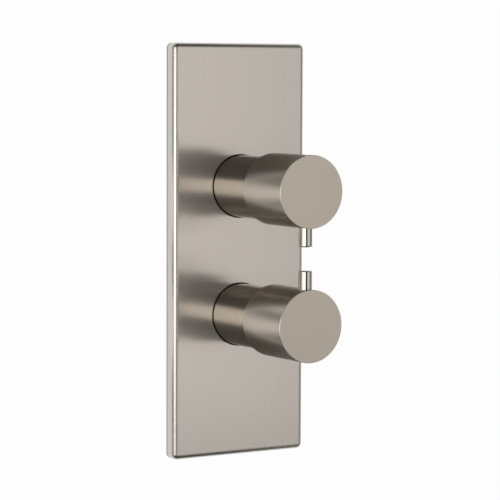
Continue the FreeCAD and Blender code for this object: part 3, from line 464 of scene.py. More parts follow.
WHITE: Colour = (1.0, 1.0, 1.0)
NICKEL: Colour = (0.585, 0.533, 0.478)
# The edges' nickel is brighter than the plate's: a painted highlight on the rounded edges.
EDGE_NICKEL: Colour = (0.62, 0.58, 0.53)
RIM_NICKEL: Colour = (0.55, 0.54, 0.49)
# Nickel made almost black for the rim's strip next to the wall: painted shade where the plate meets the
# wall.
PAINTED_SHADE_NICKEL: Colour = (0.17, 0.165, 0.155)
WARM_NICKEL: Colour = (0.615, 0.55, 0.465)
SLEEVE_NICKEL: Colour = (0.44, 0.412, 0.36)
# The handle's side is darker than the nickel of its own front disc: painted shade on the side.
HANDLE_NICKEL: Colour = (0.49, 0.436, 0.37)
PIN_METAL: Colour = (0.51, 0.48, 0.42)
SEAL_BLACK: Colour = (0.022, 0.022, 0.023)
SEAL_DUST: Colour = (0.12, 0.115, 0.11)
RAW_BRASS: Colour = (0.60, 0.44, 0.21)
DARK_BRASS: Colour = (0.34, 0.23, 0.10)
BRASS: Colour = (0.70, 0.53, 0.27)
DULL_BRASS: Colour = (0.50, 0.36, 0.18)
COPPER: Colour = (0.68, 0.36, 0.23)
DULL_COPPER: Colour = (0.42, 0.2, 0.12)
STEEL: Colour = (0.58, 0.58, 0.58)
DULL_STEEL: Colour = (0.42, 0.42, 0.43)
CERAMIC: Colour = (0.86, 0.85, 0.81)
PALE_PLASTIC: Colour = (0.74, 0.74, 0.70)


class Finishes:
    """Every material of the mixer, made once."""

    def __init__(self) -> None:
        """Make the materials, by the name of the record's slot or of the face that they cover."""
        body_low, body_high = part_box("valve_body")
        ends = {
            "arm_end": -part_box(Port.HOT.node)[0].x - Union.LENGTH,
            "outlet_end": body_high.z,
            "front_face": body_low.y,
        }
        finishes = (
            BrushedMetal("plate_nickel", NICKEL, 0.24, Grain.UPRIGHT, metal=0.82, smear=0.8),
            # Rounded edges: rougher than the front, which is real, and brighter, which is a painted
            # highlight.
            BrushedMetal("edge_nickel", EDGE_NICKEL, 0.34, Grain.UPRIGHT),
            BrushedMetal("rim_nickel", RIM_NICKEL, 0.14, Grain.UPRIGHT),
            BrushedMetal("back_nickel", PAINTED_SHADE_NICKEL, 0.35, Grain.UPRIGHT),
            BrushedMetal("disc_nickel", WARM_NICKEL, 0.4, Grain.UPRIGHT),
            BrushedMetal("sleeve_nickel", SLEEVE_NICKEL, 0.15, Grain.ROUND_OUT),
            BrushedMetal("handle_nickel", HANDLE_NICKEL, 0.26, Grain.ROUND_OUT),
            PolishedMetal("polished_metal", PIN_METAL, 0.08),
            Rubber("seal_rubber", SEAL_BLACK, 0.55, SEAL_DUST),
            CastMetal("cast_brass", RAW_BRASS, 0.52, DARK_BRASS, BRASS, **ends),
            TurnedMetal("turned_brass", BRASS, 0.2, Grain.ROUND_OUT, DULL_BRASS),
            TurnedMetal("level_union_brass", BRASS, 0.2, Grain.ROUND_ACROSS, DULL_BRASS),
            TurnedMetal("upright_union_brass", BRASS, 0.2, Grain.ROUND_UP, DULL_BRASS),
            TurnedMetal("copper", COPPER, 0.22, Grain.ROUND_OUT, DULL_COPPER),
            TurnedMetal("stainless", STEEL, 0.2, Grain.EVEN, DULL_STEEL),
            Moulding("alumina", CERAMIC, 0.25, mottle=0.05),
            Moulding("pale_plastic", PALE_PLASTIC, 0.38, mottle=0.08),
        )
        self.made = {finish.name: finish.material() for finish in finishes}

    def __getitem__(self, name: str) -> bpy.types.Material:
        """Give a material by its name."""
        return self.made[name]


@dataclass(frozen=True)
class Ring:
    """One loop of a turned surface.

    The faces from this loop to the next take the material of its number.
    """

    along: float
    radius: float | Callable[[float], float]
    material: int = 0

    def reach(self, angle: float) -> float:
        """Give the radius at an angle."""
        return self.radius(angle) if callable(self.radius) else self.radius


@dataclass(frozen=True)
class Corner:
    """A corner of a turned section, with the radius that softens it."""

    along: float
    radius: float
    soft: float = 0.0
    material: int = 0


def softened(corners: Sequence[Corner], closed: bool) -> list[Ring]:
    """Round the corners of a turned section.

    Args:
        corners: Its corners in order.
        closed: Whether the last corner joins the first.

    Returns:
        The loops of the surface, with one more beside each rounding so that flats shade flat.
    """
    rings: list[Ring] = []
    for number, corner in enumerate(corners):
        here = Vector((corner.along, corner.radius))
        if corner.soft == 0.0 or (not closed and number in (0, len(corners) - 1)):
            rings.append(Ring(corner.along, corner.radius, corner.material))
            continue
        before = corners[number - 1]
        after = corners[(number + 1) % len(corners)]
        arriving = (Vector((before.along, before.radius)) - here).normalized()
        leaving = (Vector((after.along, after.radius)) - here).normalized()
        half_angle = arriving.angle(leaving) / 2
        reach = corner.soft / math.tan(half_angle)
        centre = here + (arriving + leaving).normalized() * (corner.soft / math.sin(half_angle))
        start = here + arriving * reach
        finish = here + leaving * reach
        spots = [start + arriving * corner.soft / 2]
        for step in range(ARC_STEPS + 1):
            spoke = (start - centre).slerp(finish - centre, step / ARC_STEPS)
            spots.append(centre + spoke.normalized() * corner.soft)
        spots.append(finish + leaving * corner.soft / 2)
        for spot in spots[:-1]:
            rings.append(Ring(spot.x, spot.y, before.material if spot is spots[0] else corner.material))
        rings.append(Ring(spots[-1].x, spots[-1].y, corner.material))
    return rings


class MeshMaker:
    """Collects the vertices and faces of one piece in the shared frame."""

    def __init__(self, name: str) -> None:
        """Start an empty piece."""
        self.name = name
        self.mesh = bmesh.new()

    def loop(self, spots: Iterable[Vector]) -> list[bmesh.types.BMVert]:
        """Add a loop of vertices."""
        return [self.mesh.verts.new(spot) for spot in spots]

    def bridge(self, first: Sequence[bmesh.types.BMVert], second: Sequence[bmesh.types.BMVert],
               material: int = 0) -> None:
        """Join two loops of the same length by a band of quads.

        Args:
            first: Loop on one side of the band.
            second: Loop on the other side.
            material: Number of the band's material.
        """
        count = len(first)
        for number in range(count):
            following = (number + 1) % count
            face = self.mesh.faces.new((first[number], first[following], second[following], second[number]))
            face.material_index = material

    def cap(self, loop: Sequence[bmesh.types.BMVert], material: int = 0) -> None:
        """Close a loop by triangles to its middle.

        Args:
            loop: The loop to close.
            material: Number of the cap's material.
        """
        middle = self.mesh.verts.new(sum((vert.co for vert in loop), Vector()) / len(loop))
        for number, vert in enumerate(loop):
            face = self.mesh.faces.new((vert, loop[(number + 1) % len(loop)], middle))
            face.material_index = material

    def pave(self, loops: Iterable[Sequence[bmesh.types.BMVert]], material: int = 0) -> None:
        """Fill the flat between an outer loop and the loops inside it.

        Args:
            loops: The loops that bound the flat.
            material: Number of the flat's material.
        """
        edges = []
        for loop in loops:
            for number, vert in enumerate(loop):
                ends = (vert, loop[(number + 1) % len(loop)])
                edges.append(self.mesh.edges.get(ends) or self.mesh.edges.new(ends))
        made = bmesh.ops.triangle_fill(self.mesh, edges=edges, use_beauty=True, use_dissolve=False)
        for item in made["geom"]:
            if isinstance(item, bmesh.types.BMFace):
                item.material_index = material

    def turn(self, rings: Sequence[Ring], placing: Matrix, ends: Ends, segments: int = SEGMENTS) -> None:
        """Add a surface turned about an axis.

        Args:
            rings: Its loops in order.
            placing: Where the axis stands; the surface runs along its Z.
            ends: How the first and last loops are closed.
            segments: Number of vertices in a loop.
        """
        loops = []
        for ring in rings:
            spots = []
            for number in range(segments):
                angle = ROUND * number / segments
                spoke = Vector((math.cos(angle), math.sin(angle), 0.0)) * ring.reach(angle)
                spots.append(placing @ (spoke + Vector((0.0, 0.0, ring.along))))
            loops.append(self.loop(spots))
        for ring, first, second in zip(rings, loops, loops[1:]):
            self.bridge(first, second, ring.material)
        if ends is Ends.CAPPED:
            self.cap(loops[0], rings[0].material)
            self.cap(loops[-1], rings[-1].material)
        else:
            self.bridge(loops[-1], loops[0], rings[-1].material)

    def loose_piece(self, materials: Sequence[bpy.types.Material],
                    node: str) -> bpy.types.Object:
        """Finish the piece, still on no body.

        Args:
            materials: Its materials, by number.
            node: CAD node that it stands for.

        Returns:
            The new object.
        """
        bmesh.ops.recalc_face_normals(self.mesh, faces=self.mesh.faces)
        data = bpy.data.meshes.new(self.name)
        self.mesh.to_mesh(data)
        self.mesh.free()
        data.shade_smooth()
        data.set_sharp_from_angle(angle=SMOOTH_ANGLE)
        for material in materials:
            data.materials.append(material)
        made = bpy.data.objects.new(self.name, data)
        bpy.context.scene.collection.objects.link(made)
        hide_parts(node)
        log.info("%s: %d faces for %s", self.name, len(data.polygons), node)
        return made

    def piece(self, body: str, materials: Sequence[bpy.types.Material], node: str) -> None:
        """Finish the piece and put it on its CAD body.

        Args:
            body: CAD body that it moves with.
            materials: Its materials, by number.
            node: CAD node that it stands for.
        """
        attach(self.loose_piece(materials, node), body)


OUT_OF_WALL = Matrix.Rotation(math.radians(90), 4, "X")


def axis_at(spot: Vector, direction: Vector) -> Matrix:
    """Stand an axis at a spot.

    Args:
        spot: Where the axis starts.
        direction: Where its Z points.

    Returns:
        The placing.
    """
    turn = direction.to_track_quat("Z", "Y").to_matrix().to_4x4()
    return Matrix.Translation(spot) @ turn


@dataclass
class Plate:
    """The upright front plate: a shallow tray with two holes and a collar behind each."""

    FRONT: ClassVar[int] = 0
    EDGE: ClassVar[int] = 1
    RIM: ClassVar[int] = 2
    # Number of the material of the rim's strip next to the wall, which is painted shade.
    PAINTED_SHADE: ClassVar[int] = 3
    sheet: float = 2.5 * MM
    corner: float = 3.0 * MM
    edge: float = 2.4 * MM
    band: float = 0.4 * MM
    # Width of the rim's strip next to the wall that is painted dark as shade.
    dull: float = 0.9 * MM
    rim_front: float = 3.6 * MM
    inner_corner: float = 0.2 * MM
    hole_edge: float = 0.15 * MM
    hole_gap: float = 0.4 * MM
    seal_room: float = 2.3 * MM
    seal_slack: float = 0.1 * MM
    collar_wall: float = 1.8 * MM
    collar_gap: float = 0.6 * MM
    corner_steps: int = 8

    def __post_init__(self) -> None:
        """Take the plate's size from its CAD node."""
        low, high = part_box("wall_plate")
        self.half_width = (high.x - low.x) / 2
        self.half_height = (high.z - low.z) / 2
        self.front = low.y
        self.back = high.y

    def outline(self, inset: float, level: float, corner: float) -> list[Vector]:
        """Give the plate's outline at a level, drawn in on every side.

        Args:
            inset: How far it is drawn in.
            level: Its place along Y.
            corner: Radius of its corners.

        Returns:
            The points of the outline.
        """
        across = self.half_width - inset - corner
        up = self.half_height - inset - corner
        spots = []
        for quarter, (side, top) in enumerate(((1, 1), (-1, 1), (-1, -1), (1, -1))):
            for step in range(self.corner_steps + 1):
                angle = math.radians(90) * (quarter + step / self.corner_steps)
                spots.append(Vector((side * across + corner * math.cos(angle), level,
                                     top * up + corner * math.sin(angle))))
        return spots

    def circle(self, side: Side, radius: float, level: float) -> list[Vector]:
        """Give a circle about the axis of a control.

        Args:
            side: The control.
            radius: The circle's radius.
            level: Its place along Y.

        Returns:
            The points of the circle.
        """
        height = control_height(side)
        turns = (ROUND * number / SEGMENTS for number in range(SEGMENTS))
        return [Vector((radius * math.cos(turn), level, height + radius * math.sin(turn)))
                for turn in turns]

    def shell(self, maker: MeshMaker) -> tuple[list, list]:
        """Add the outside: rim with a strip of painted shade at its back, rounded front edge and the band
        beside it.

        Args:
            maker: Collects the mesh.

        Returns:
            The outermost loop at the back and the loop that bounds the flat front.
        """
        levels = [(0.0, level, self.corner)
                  for level in (self.back, self.back - self.dull, self.front + self.rim_front)]
        for step in range(ARC_STEPS + 1):
            angle = math.radians(90) * step / ARC_STEPS
            inset = self.edge * (1 - math.cos(angle))
            levels.append((inset, self.front + self.edge * (1 - math.sin(angle)), self.corner - inset))
        levels.append((self.edge + self.band, self.front, self.corner - self.edge - self.band))
        loops = [maker.loop(self.outline(*level)) for level in levels]
        # The band at the back of the rim takes the painted shade, the next ones the rim and edge finishes.
        for number, (first, second) in enumerate(zip(loops, loops[1:])):
            maker.bridge(first, second, (self.PAINTED_SHADE, self.RIM, self.EDGE)[min(number, 2)])
        return loops[0], loops[-1]

    def collar(self, maker: MeshMaker, side: Side) -> tuple[list, list]:
        """Add the hole of a control, with its seal groove and the collar behind it.

        Args:
            maker: Collects the mesh.
            side: The control.

        Returns:
            The loop on the plate's front and the loop on the inside of its sheet.
        """
        sleeve = radius_of(f"{side.value}_sleeve")
        seal_low, seal_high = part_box(f"{side.value}_plate_seal")
        hole = sleeve + self.hole_gap
        groove = sleeve + self.seal_room
        outside = groove + self.collar_wall
        inside = self.front + self.sheet
        steps = (
            (hole + self.hole_edge, self.front),
            (hole, self.front + self.hole_edge),
            (hole, seal_low.y - self.seal_slack),
            (groove, seal_low.y - self.seal_slack),
            (groove, seal_high.y + self.seal_slack),
            (hole, seal_high.y + self.seal_slack),
            (hole, self.back - self.collar_gap),
            (outside, self.back - self.collar_gap),
            (outside, inside),
        )
        loops = [maker.loop(self.circle(side, radius, level)) for radius, level in steps]
        for first, second in zip(loops, loops[1:]):
            maker.bridge(first, second)
        return loops[0], loops[-1]

    def build(self, finishes: Finishes) -> None:
        """Build the plate in place of its CAD node."""
        maker = MeshMaker("front_plate")
        rim, face = self.shell(maker)
        holes = [self.collar(maker, side) for side in Side]
        maker.pave([face] + [front for front, _ in holes], self.FRONT)
        rim_inside = maker.loop(self.outline(self.sheet, self.back, self.inner_corner))
        floor = maker.loop(self.outline(self.sheet, self.front + self.sheet, self.inner_corner))
        maker.bridge(rim, rim_inside)
        maker.bridge(rim_inside, floor)
        maker.pave([floor] + [behind for _, behind in holes])
        names = ("plate_nickel", "edge_nickel", "rim_nickel", "back_nickel")
        maker.piece("valve", [finishes[name] for name in names], "wall_plate")


def control_height(side: Side) -> float:
    """Give the height of a control's axis."""
    low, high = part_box(f"{side.value}_sleeve")
    return (low.z + high.z) / 2


def radius_of(node: str) -> float:
    """Give the radius of a round CAD node that stands along Y or Z."""
    low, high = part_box(node)
    return (high.x - low.x) / 2


@dataclass
class Control:
    """One round control: a sleeve out of the plate, a larger handle on it and a pin lever."""

    side: Side
    handle_edge: float = 0.2 * MM
    edge_round: float = 0.08 * MM
    sleeve_wall: float = 1.5 * MM
    sleeve_edge: float = 0.2 * MM
    handle_gap: float = 0.7 * MM
    front_solid: float = 12.0 * MM
    front_skin: float = 2.4 * MM
    insert_radius: float = 6.55 * MM
    stud_radius: float = 2.45 * MM
    pin_sunk: float = 1.2 * MM
    pin_edge: float = 0.7 * MM

    def __post_init__(self) -> None:
        """Take places and sizes from the CAD nodes."""
        self.body = f"{self.side.value}_control"
        self.axis = Matrix.Translation((0.0, 0.0, control_height(self.side))) @ OUT_OF_WALL
        self.sleeve_radius = radius_of(f"{self.side.value}_sleeve")
        self.handle_radius = radius_of(f"{self.side.value}_handle")

    def build_sleeve(self, finishes: Finishes) -> None:
        """Build the plain tube between the plate and the handle."""
        low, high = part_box(f"{self.side.value}_sleeve")
        bore = self.sleeve_radius - self.sleeve_wall
        rings = softened([
            Corner(-high.y, bore, self.sleeve_edge),
            Corner(-high.y, self.sleeve_radius, self.sleeve_edge),
            Corner(-low.y, self.sleeve_radius, self.sleeve_edge),
            Corner(-low.y, bore, self.sleeve_edge),
        ], closed=True)
        maker = MeshMaker(f"{self.side.value}_sleeve_tube")
        maker.turn(rings, self.axis, Ends.LOOPED)
        maker.piece("valve", [finishes["sleeve_nickel"]], f"{self.side.value}_sleeve")

    def build_handle(self, finishes: Finishes) -> None:
        """Build the handle: turned side, flat disc in front and the hollow over the sleeve."""
        low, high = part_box(f"{self.side.value}_handle")
        front = -low.y
        back = -high.y
        bore = self.sleeve_radius + self.handle_gap
        rings = softened([
            Corner(front - self.front_skin, self.insert_radius),
            Corner(front - self.front_solid, self.insert_radius),
            Corner(front - self.front_solid, bore),
            Corner(back, bore, self.edge_round),
            Corner(back, self.handle_radius - self.handle_edge, self.edge_round),
            Corner(back + self.handle_edge, self.handle_radius, self.edge_round),
            Corner(front - self.handle_edge, self.handle_radius, self.edge_round, material=1),
            Corner(front, self.handle_radius - self.handle_edge, self.edge_round, material=1),
            Corner(front, self.handle_radius / 2, material=1),
        ], closed=False)
        maker = MeshMaker(f"{self.side.value}_handle_shell")
        maker.turn(rings, self.axis, Ends.CAPPED)
        materials = [finishes["handle_nickel"], finishes["disc_nickel"]]
        maker.piece(self.body, materials, f"{self.side.value}_handle")

    def build_pin(self, finishes: Finishes) -> None:
        """Build the pin lever that stands out of the handle's side."""
        low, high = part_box(f"{self.side.value}_lever_pin")
        height = control_height(self.side)
        direction = Vector((0.0, 0.0, 1.0 if high.z - height > height - low.z else -1.0))
        reach = max(high.z - height, height - low.z)
        inner = min(abs(low.z - height), abs(high.z - height))
        radius = radius_of(f"{self.side.value}_lever_pin")
        seat = self.handle_radius - self.pin_sunk
        rings = softened([
            Corner(inner, self.stud_radius),
            Corner(seat, self.stud_radius),
            Corner(seat, radius),
            Corner(reach, radius, self.pin_edge),
            Corner(reach, radius / 2),
        ], closed=False)
        maker = MeshMaker(f"{self.side.value}_pin")
        start = Vector((0.0, (low.y + high.y) / 2, height))
        maker.turn(rings, axis_at(start, direction), Ends.CAPPED)
        materials = [finishes["polished_metal"]]
        maker.piece(self.body, materials, f"{self.side.value}_lever_pin")

    def build(self, finishes: Finishes) -> None:
        """Build the pieces of the control that show."""
        self.build_sleeve(finishes)
        self.build_handle(finishes)
        self.build_pin(finishes)


@dataclass
class Union:
    """A pipe union: a spigot with a ring groove, a bevelled hexagon and a socket with an inside thread.

    Lengths are measured along its axis, from the end of the arm that it is screwed into.
    """

    LENGTH: ClassVar[float] = 25.0 * MM
    SEGMENTS: ClassVar[int] = 144
    port: Port
    spigot_length: float = 14.0 * MM
    spigot_radius: float = 10.95 * MM
    spigot_edge: float = 0.4 * MM
    groove_middle: float = -6.0 * MM
    groove_half: float = 1.0 * MM
    groove_floor: float = 9.15 * MM
    groove_edge: float = 0.1 * MM
    hexagon_half: float = 15.0 * MM
    hexagon_length: float = 9.0 * MM
    bevel: float = math.radians(30)
    bevel_radius: float = 14.3 * MM
    bevel_depth: float = 1.75 * MM
    bevel_steps: int = 10
    socket_radius: float = 14.0 * MM
    socket_edge: float = 0.6 * MM
    thread_radius: float = 9.3 * MM
    thread_depth: float = 1.16 * MM
    pitch: float = 1.814 * MM
    rings_per_turn: int = 8
    run_out: float = 2.0 * MM
    mouth_radius: float = 10.7 * MM
    floor: float = 10.0 * MM
    way_radius: float = 8.0 * MM

    def placing(self) -> Matrix:
        """Give the place of the union's axis, with Z out of its socket."""
        low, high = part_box(self.port.node)
        direction, corner = (Vector(way) for way in self.port.value)
        outermost = abs((high - low).dot(direction)) / 2
        start = (low + high) / 2 + direction * (outermost - self.LENGTH)
        turn = Matrix((corner, direction.cross(corner), direction)).transposed().to_4x4()
        return Matrix.Translation(start) @ turn

    def hexagon(self, angle: float, limit: float) -> float:
        """Give the hexagon's radius.

        Args:
            angle: Angle from one of its corners.
            limit: Radius that the bevel holds it in.

        Returns:
            The radius.
        """
        side = ROUND / 6
        return min(self.hexagon_half / math.cos(angle % side - side / 2), limit)

    def thread(self, angle: float, level: float) -> float:
        """Give the radius of the thread, which runs out at its floor and opens at the mouth.

        Args:
            angle: Angle about the axis.
            level: Place along the axis.

        Returns:
            The radius.
        """
        wave = 0.5 - 0.5 * math.cos(angle - ROUND * level / self.pitch)
        fade = min((level - self.floor) / self.run_out, 1.0)
        mouth = self.mouth_radius - (self.LENGTH - level)
        return max(self.thread_radius + self.thread_depth * wave * fade, mouth)

    def spigot_rings(self) -> list[Ring]:
        """Give the loops of the spigot, from its end to the arm's end."""
        low = self.groove_middle - self.groove_half
        high = self.groove_middle + self.groove_half
        return softened([
            Corner(-self.spigot_length, self.way_radius),
            Corner(-self.spigot_length, self.spigot_radius, self.spigot_edge),
            Corner(low, self.spigot_radius, self.groove_edge),
            Corner(low, self.groove_floor),
            Corner(high, self.groove_floor),
            Corner(high, self.spigot_radius, self.groove_edge),
            Corner(0.0, self.spigot_radius),
        ], closed=False)

    def hexagon_rings(self) -> list[Ring]:
        """Give the loops of the hexagon, drawn in towards both of its ends."""
        rings = []
        for step in range(self.bevel_steps + 1):
            depth = self.bevel_depth * step / self.bevel_steps
            limit = self.bevel_radius + depth / math.tan(self.bevel)
            rings.append(Ring(depth, lambda angle, limit=limit: self.hexagon(angle, limit)))
        return rings + [Ring(self.hexagon_length - ring.along, ring.radius) for ring in reversed(rings)]

    def socket_rings(self) -> list[Ring]:
        """Give the loops of the socket, outside, round its mouth and down its thread."""
        rings = softened([
            Corner(self.hexagon_length, self.socket_radius),
            Corner(self.LENGTH, self.socket_radius, self.socket_edge),
            Corner(self.LENGTH, self.mouth_radius),
        ], closed=False)
        depth = self.LENGTH - self.floor
        count = round(depth / self.pitch * self.rings_per_turn)
        for number in range(1, count + 1):
            level = self.LENGTH - depth * number / count
            rings.append(Ring(level, lambda angle, level=level: self.thread(angle, level)))
        return rings + [Ring(self.floor, self.way_radius)]

    def build(self, finishes: Finishes) -> None:
        """Build the union in place of its CAD node."""
        maker = MeshMaker(f"{self.port.name.lower()}_pipe_union")
        rings = self.spigot_rings() + self.hexagon_rings() + self.socket_rings()
        maker.turn(rings, self.placing(), Ends.LOOPED, self.SEGMENTS)
        maker.piece("valve", [finishes[self.port.finish]], self.port.node)


@dataclass
class Spring:
    """A coil spring between the valve at one end and the body that presses the other."""

    QUARTERS: ClassVar[int] = 4
    STEPS_IN_TURN: ClassVar[int] = 32
    WIRE_SIDES: ClassVar[int] = 12
    node: str
    presser: str
    direction: Spot
    wire: float
    pitch: float

    def __post_init__(self) -> None:
        """Take the coil's place and size from its CAD node."""
        low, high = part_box(self.node)
        way = Vector(self.direction)
        spread = high - low
        self.radius = max(spread - way * spread.dot(way)) / 2 - self.wire / 2
        self.rise = abs(spread.dot(way)) - self.wire
        self.turns = round(self.QUARTERS * self.rise / self.pitch) / self.QUARTERS
        self.start = (low + high - way * self.rise) / 2

    def wire_loop(self, share: float, placing: Matrix) -> list[Vector]:
        """Give the loop of points round the wire.

        Args:
            share: How far along the wire it is, from 0 to 1.
            placing: Where the coil's axis stands.

        Returns:
            The points.
        """
        angle = ROUND * self.turns * share
        spoke = Vector((math.cos(angle), math.sin(angle), 0.0))
        climb = self.rise / (ROUND * self.turns)
        run = Vector((-self.radius * math.sin(angle), self.radius * math.cos(angle), climb)).normalized()
        middle = spoke * self.radius + Vector((0.0, 0.0, self.rise * share))
        turns = (ROUND * number / self.WIRE_SIDES for number in range(self.WIRE_SIDES))
        arms = (spoke * math.cos(turn) + run.cross(spoke) * math.sin(turn) for turn in turns)
        return [placing @ (middle + arm * self.wire / 2) for arm in arms]

    def build(self, finishes: Finishes) -> None:
        """Build the coil in place of its CAD node."""
        maker = MeshMaker(self.node.replace("spring", "coil"))
        way = Vector(self.direction)
        placing = axis_at(self.start, way)
        count = round(self.turns * self.STEPS_IN_TURN)
        loops = [maker.loop(self.wire_loop(number / count, placing)) for number in range(count + 1)]
        for first, second in zip(loops, loops[1:]):
            maker.bridge(first, second)
        maker.cap(loops[0])
        maker.cap(loops[-1])
        made = maker.loose_piece([finishes["stainless"]], self.node)
        self.start + way * self.rise
        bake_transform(made)


def shows_background(graph: Graph) -> Wire:
    """Tell whether a ray shows the background: straight, mirrored or through glass."""
    kinds = ("Is Camera Ray", "Is Glossy Ray", "Is Transmission Ray")
    straight, mirrored, through = (graph.node("ShaderNodeLightPath", output=kind) for kind in kinds)
    return straight.larger(mirrored).larger(through)


def compass(azimuth: float, distance: float) -> tuple[float, float]:
    """Give X and Y of a spot in front of the wall.

    Args:
        azimuth: Its direction in degrees, to the right of straight out of the wall.
        distance: How far out it is.

    Returns:
        Its X and Y.
    """
    turn = math.radians(azimuth)
    return distance * math.sin(turn), -distance * math.cos(turn)


@dataclass(frozen=True)
class RoomPaint(Finish):
    """Matt paint of the room, which shows as a bright background.

    The shown share is how much of the background's white it takes on, and the mottle is how far its shade
    swings. Clear paint can be looked through from behind.
    """

    MOTTLE_CYCLES: ClassVar[float] = 3.0
    shown: float
    mottle: float = 0.0
    clear: bool = False

    def paint(self, graph: Graph) -> None:
        """Fill the material's graph."""
        colour = opaque(self.colour)
        if self.mottle:
            shade = 1.0 + graph.clouds(self.MOTTLE_CYCLES, detail=4.0).swing(self.mottle)
            colour = graph.shaded(self.colour, shade)
        matt = graph.node("ShaderNodeBsdfDiffuse", inputs={"Color": colour, "Roughness": self.roughness})
        glow = graph.node("ShaderNodeEmission", inputs={"Color": opaque(WHITE), "Strength": 1.0})
        surface = graph.mix(shows_background(graph) * self.shown, matt, glow)
        if self.clear:
            behind = graph.node("ShaderNodeNewGeometry", output="Backfacing")
            surface = graph.mix(behind, surface, graph.node("ShaderNodeBsdfTransparent"))
        graph.finish("ShaderNodeOutputMaterial", surface)


@dataclass(frozen=True)
class CardFelt(Finish):
    """Felt of a card that only mirrors show, with a glow that may change over the card."""

    glow: Callable[[Graph], Wire]
    sheen: float = 0.5

    def paint(self, graph: Graph) -> None:
        """Fill the material's graph."""
        graph.surface(Base_Color=opaque(self.colour), Roughness=self.roughness,
                      Specular_IOR_Level=self.sheen,
                      Emission_Color=graph.shaded(WHITE, self.glow(graph)), Emission_Strength=1.0)


@dataclass(frozen=True)
class SoftBox:
    """A lamp with a wide pale face, turned to the middle of the mixer.

    The radiance is how bright its face is, where 1 is white.
    """

    name: str
    spot: Spot
    wide: float
    tall: float
    radiance: float

    def build(self) -> None:
        """Hang the lamp."""
        data = bpy.data.lights.new(self.name, "AREA")
        data.shape = "RECTANGLE"
        data.size = self.wide
        data.size_y = self.tall
        data.energy = self.radiance * math.pi * self.wide * self.tall
        made = bpy.data.objects.new(self.name, data)
        made.location = self.spot
        made.rotation_mode = "QUATERNION"
        made.rotation_quaternion = (-Vector(self.spot)).to_track_quat("-Z", "Y")
        made.visible_camera = False
        bpy.context.scene.collection.objects.link(made)


WALL_WHITE: Colour = (0.8, 0.8, 0.8)
FLOOR_WHITE: Colour = (0.84, 0.84, 0.83)
DARK_FELT: Colour = (0.02, 0.02, 0.02)
BLACK: Colour = (0.0, 0.0, 0.0)


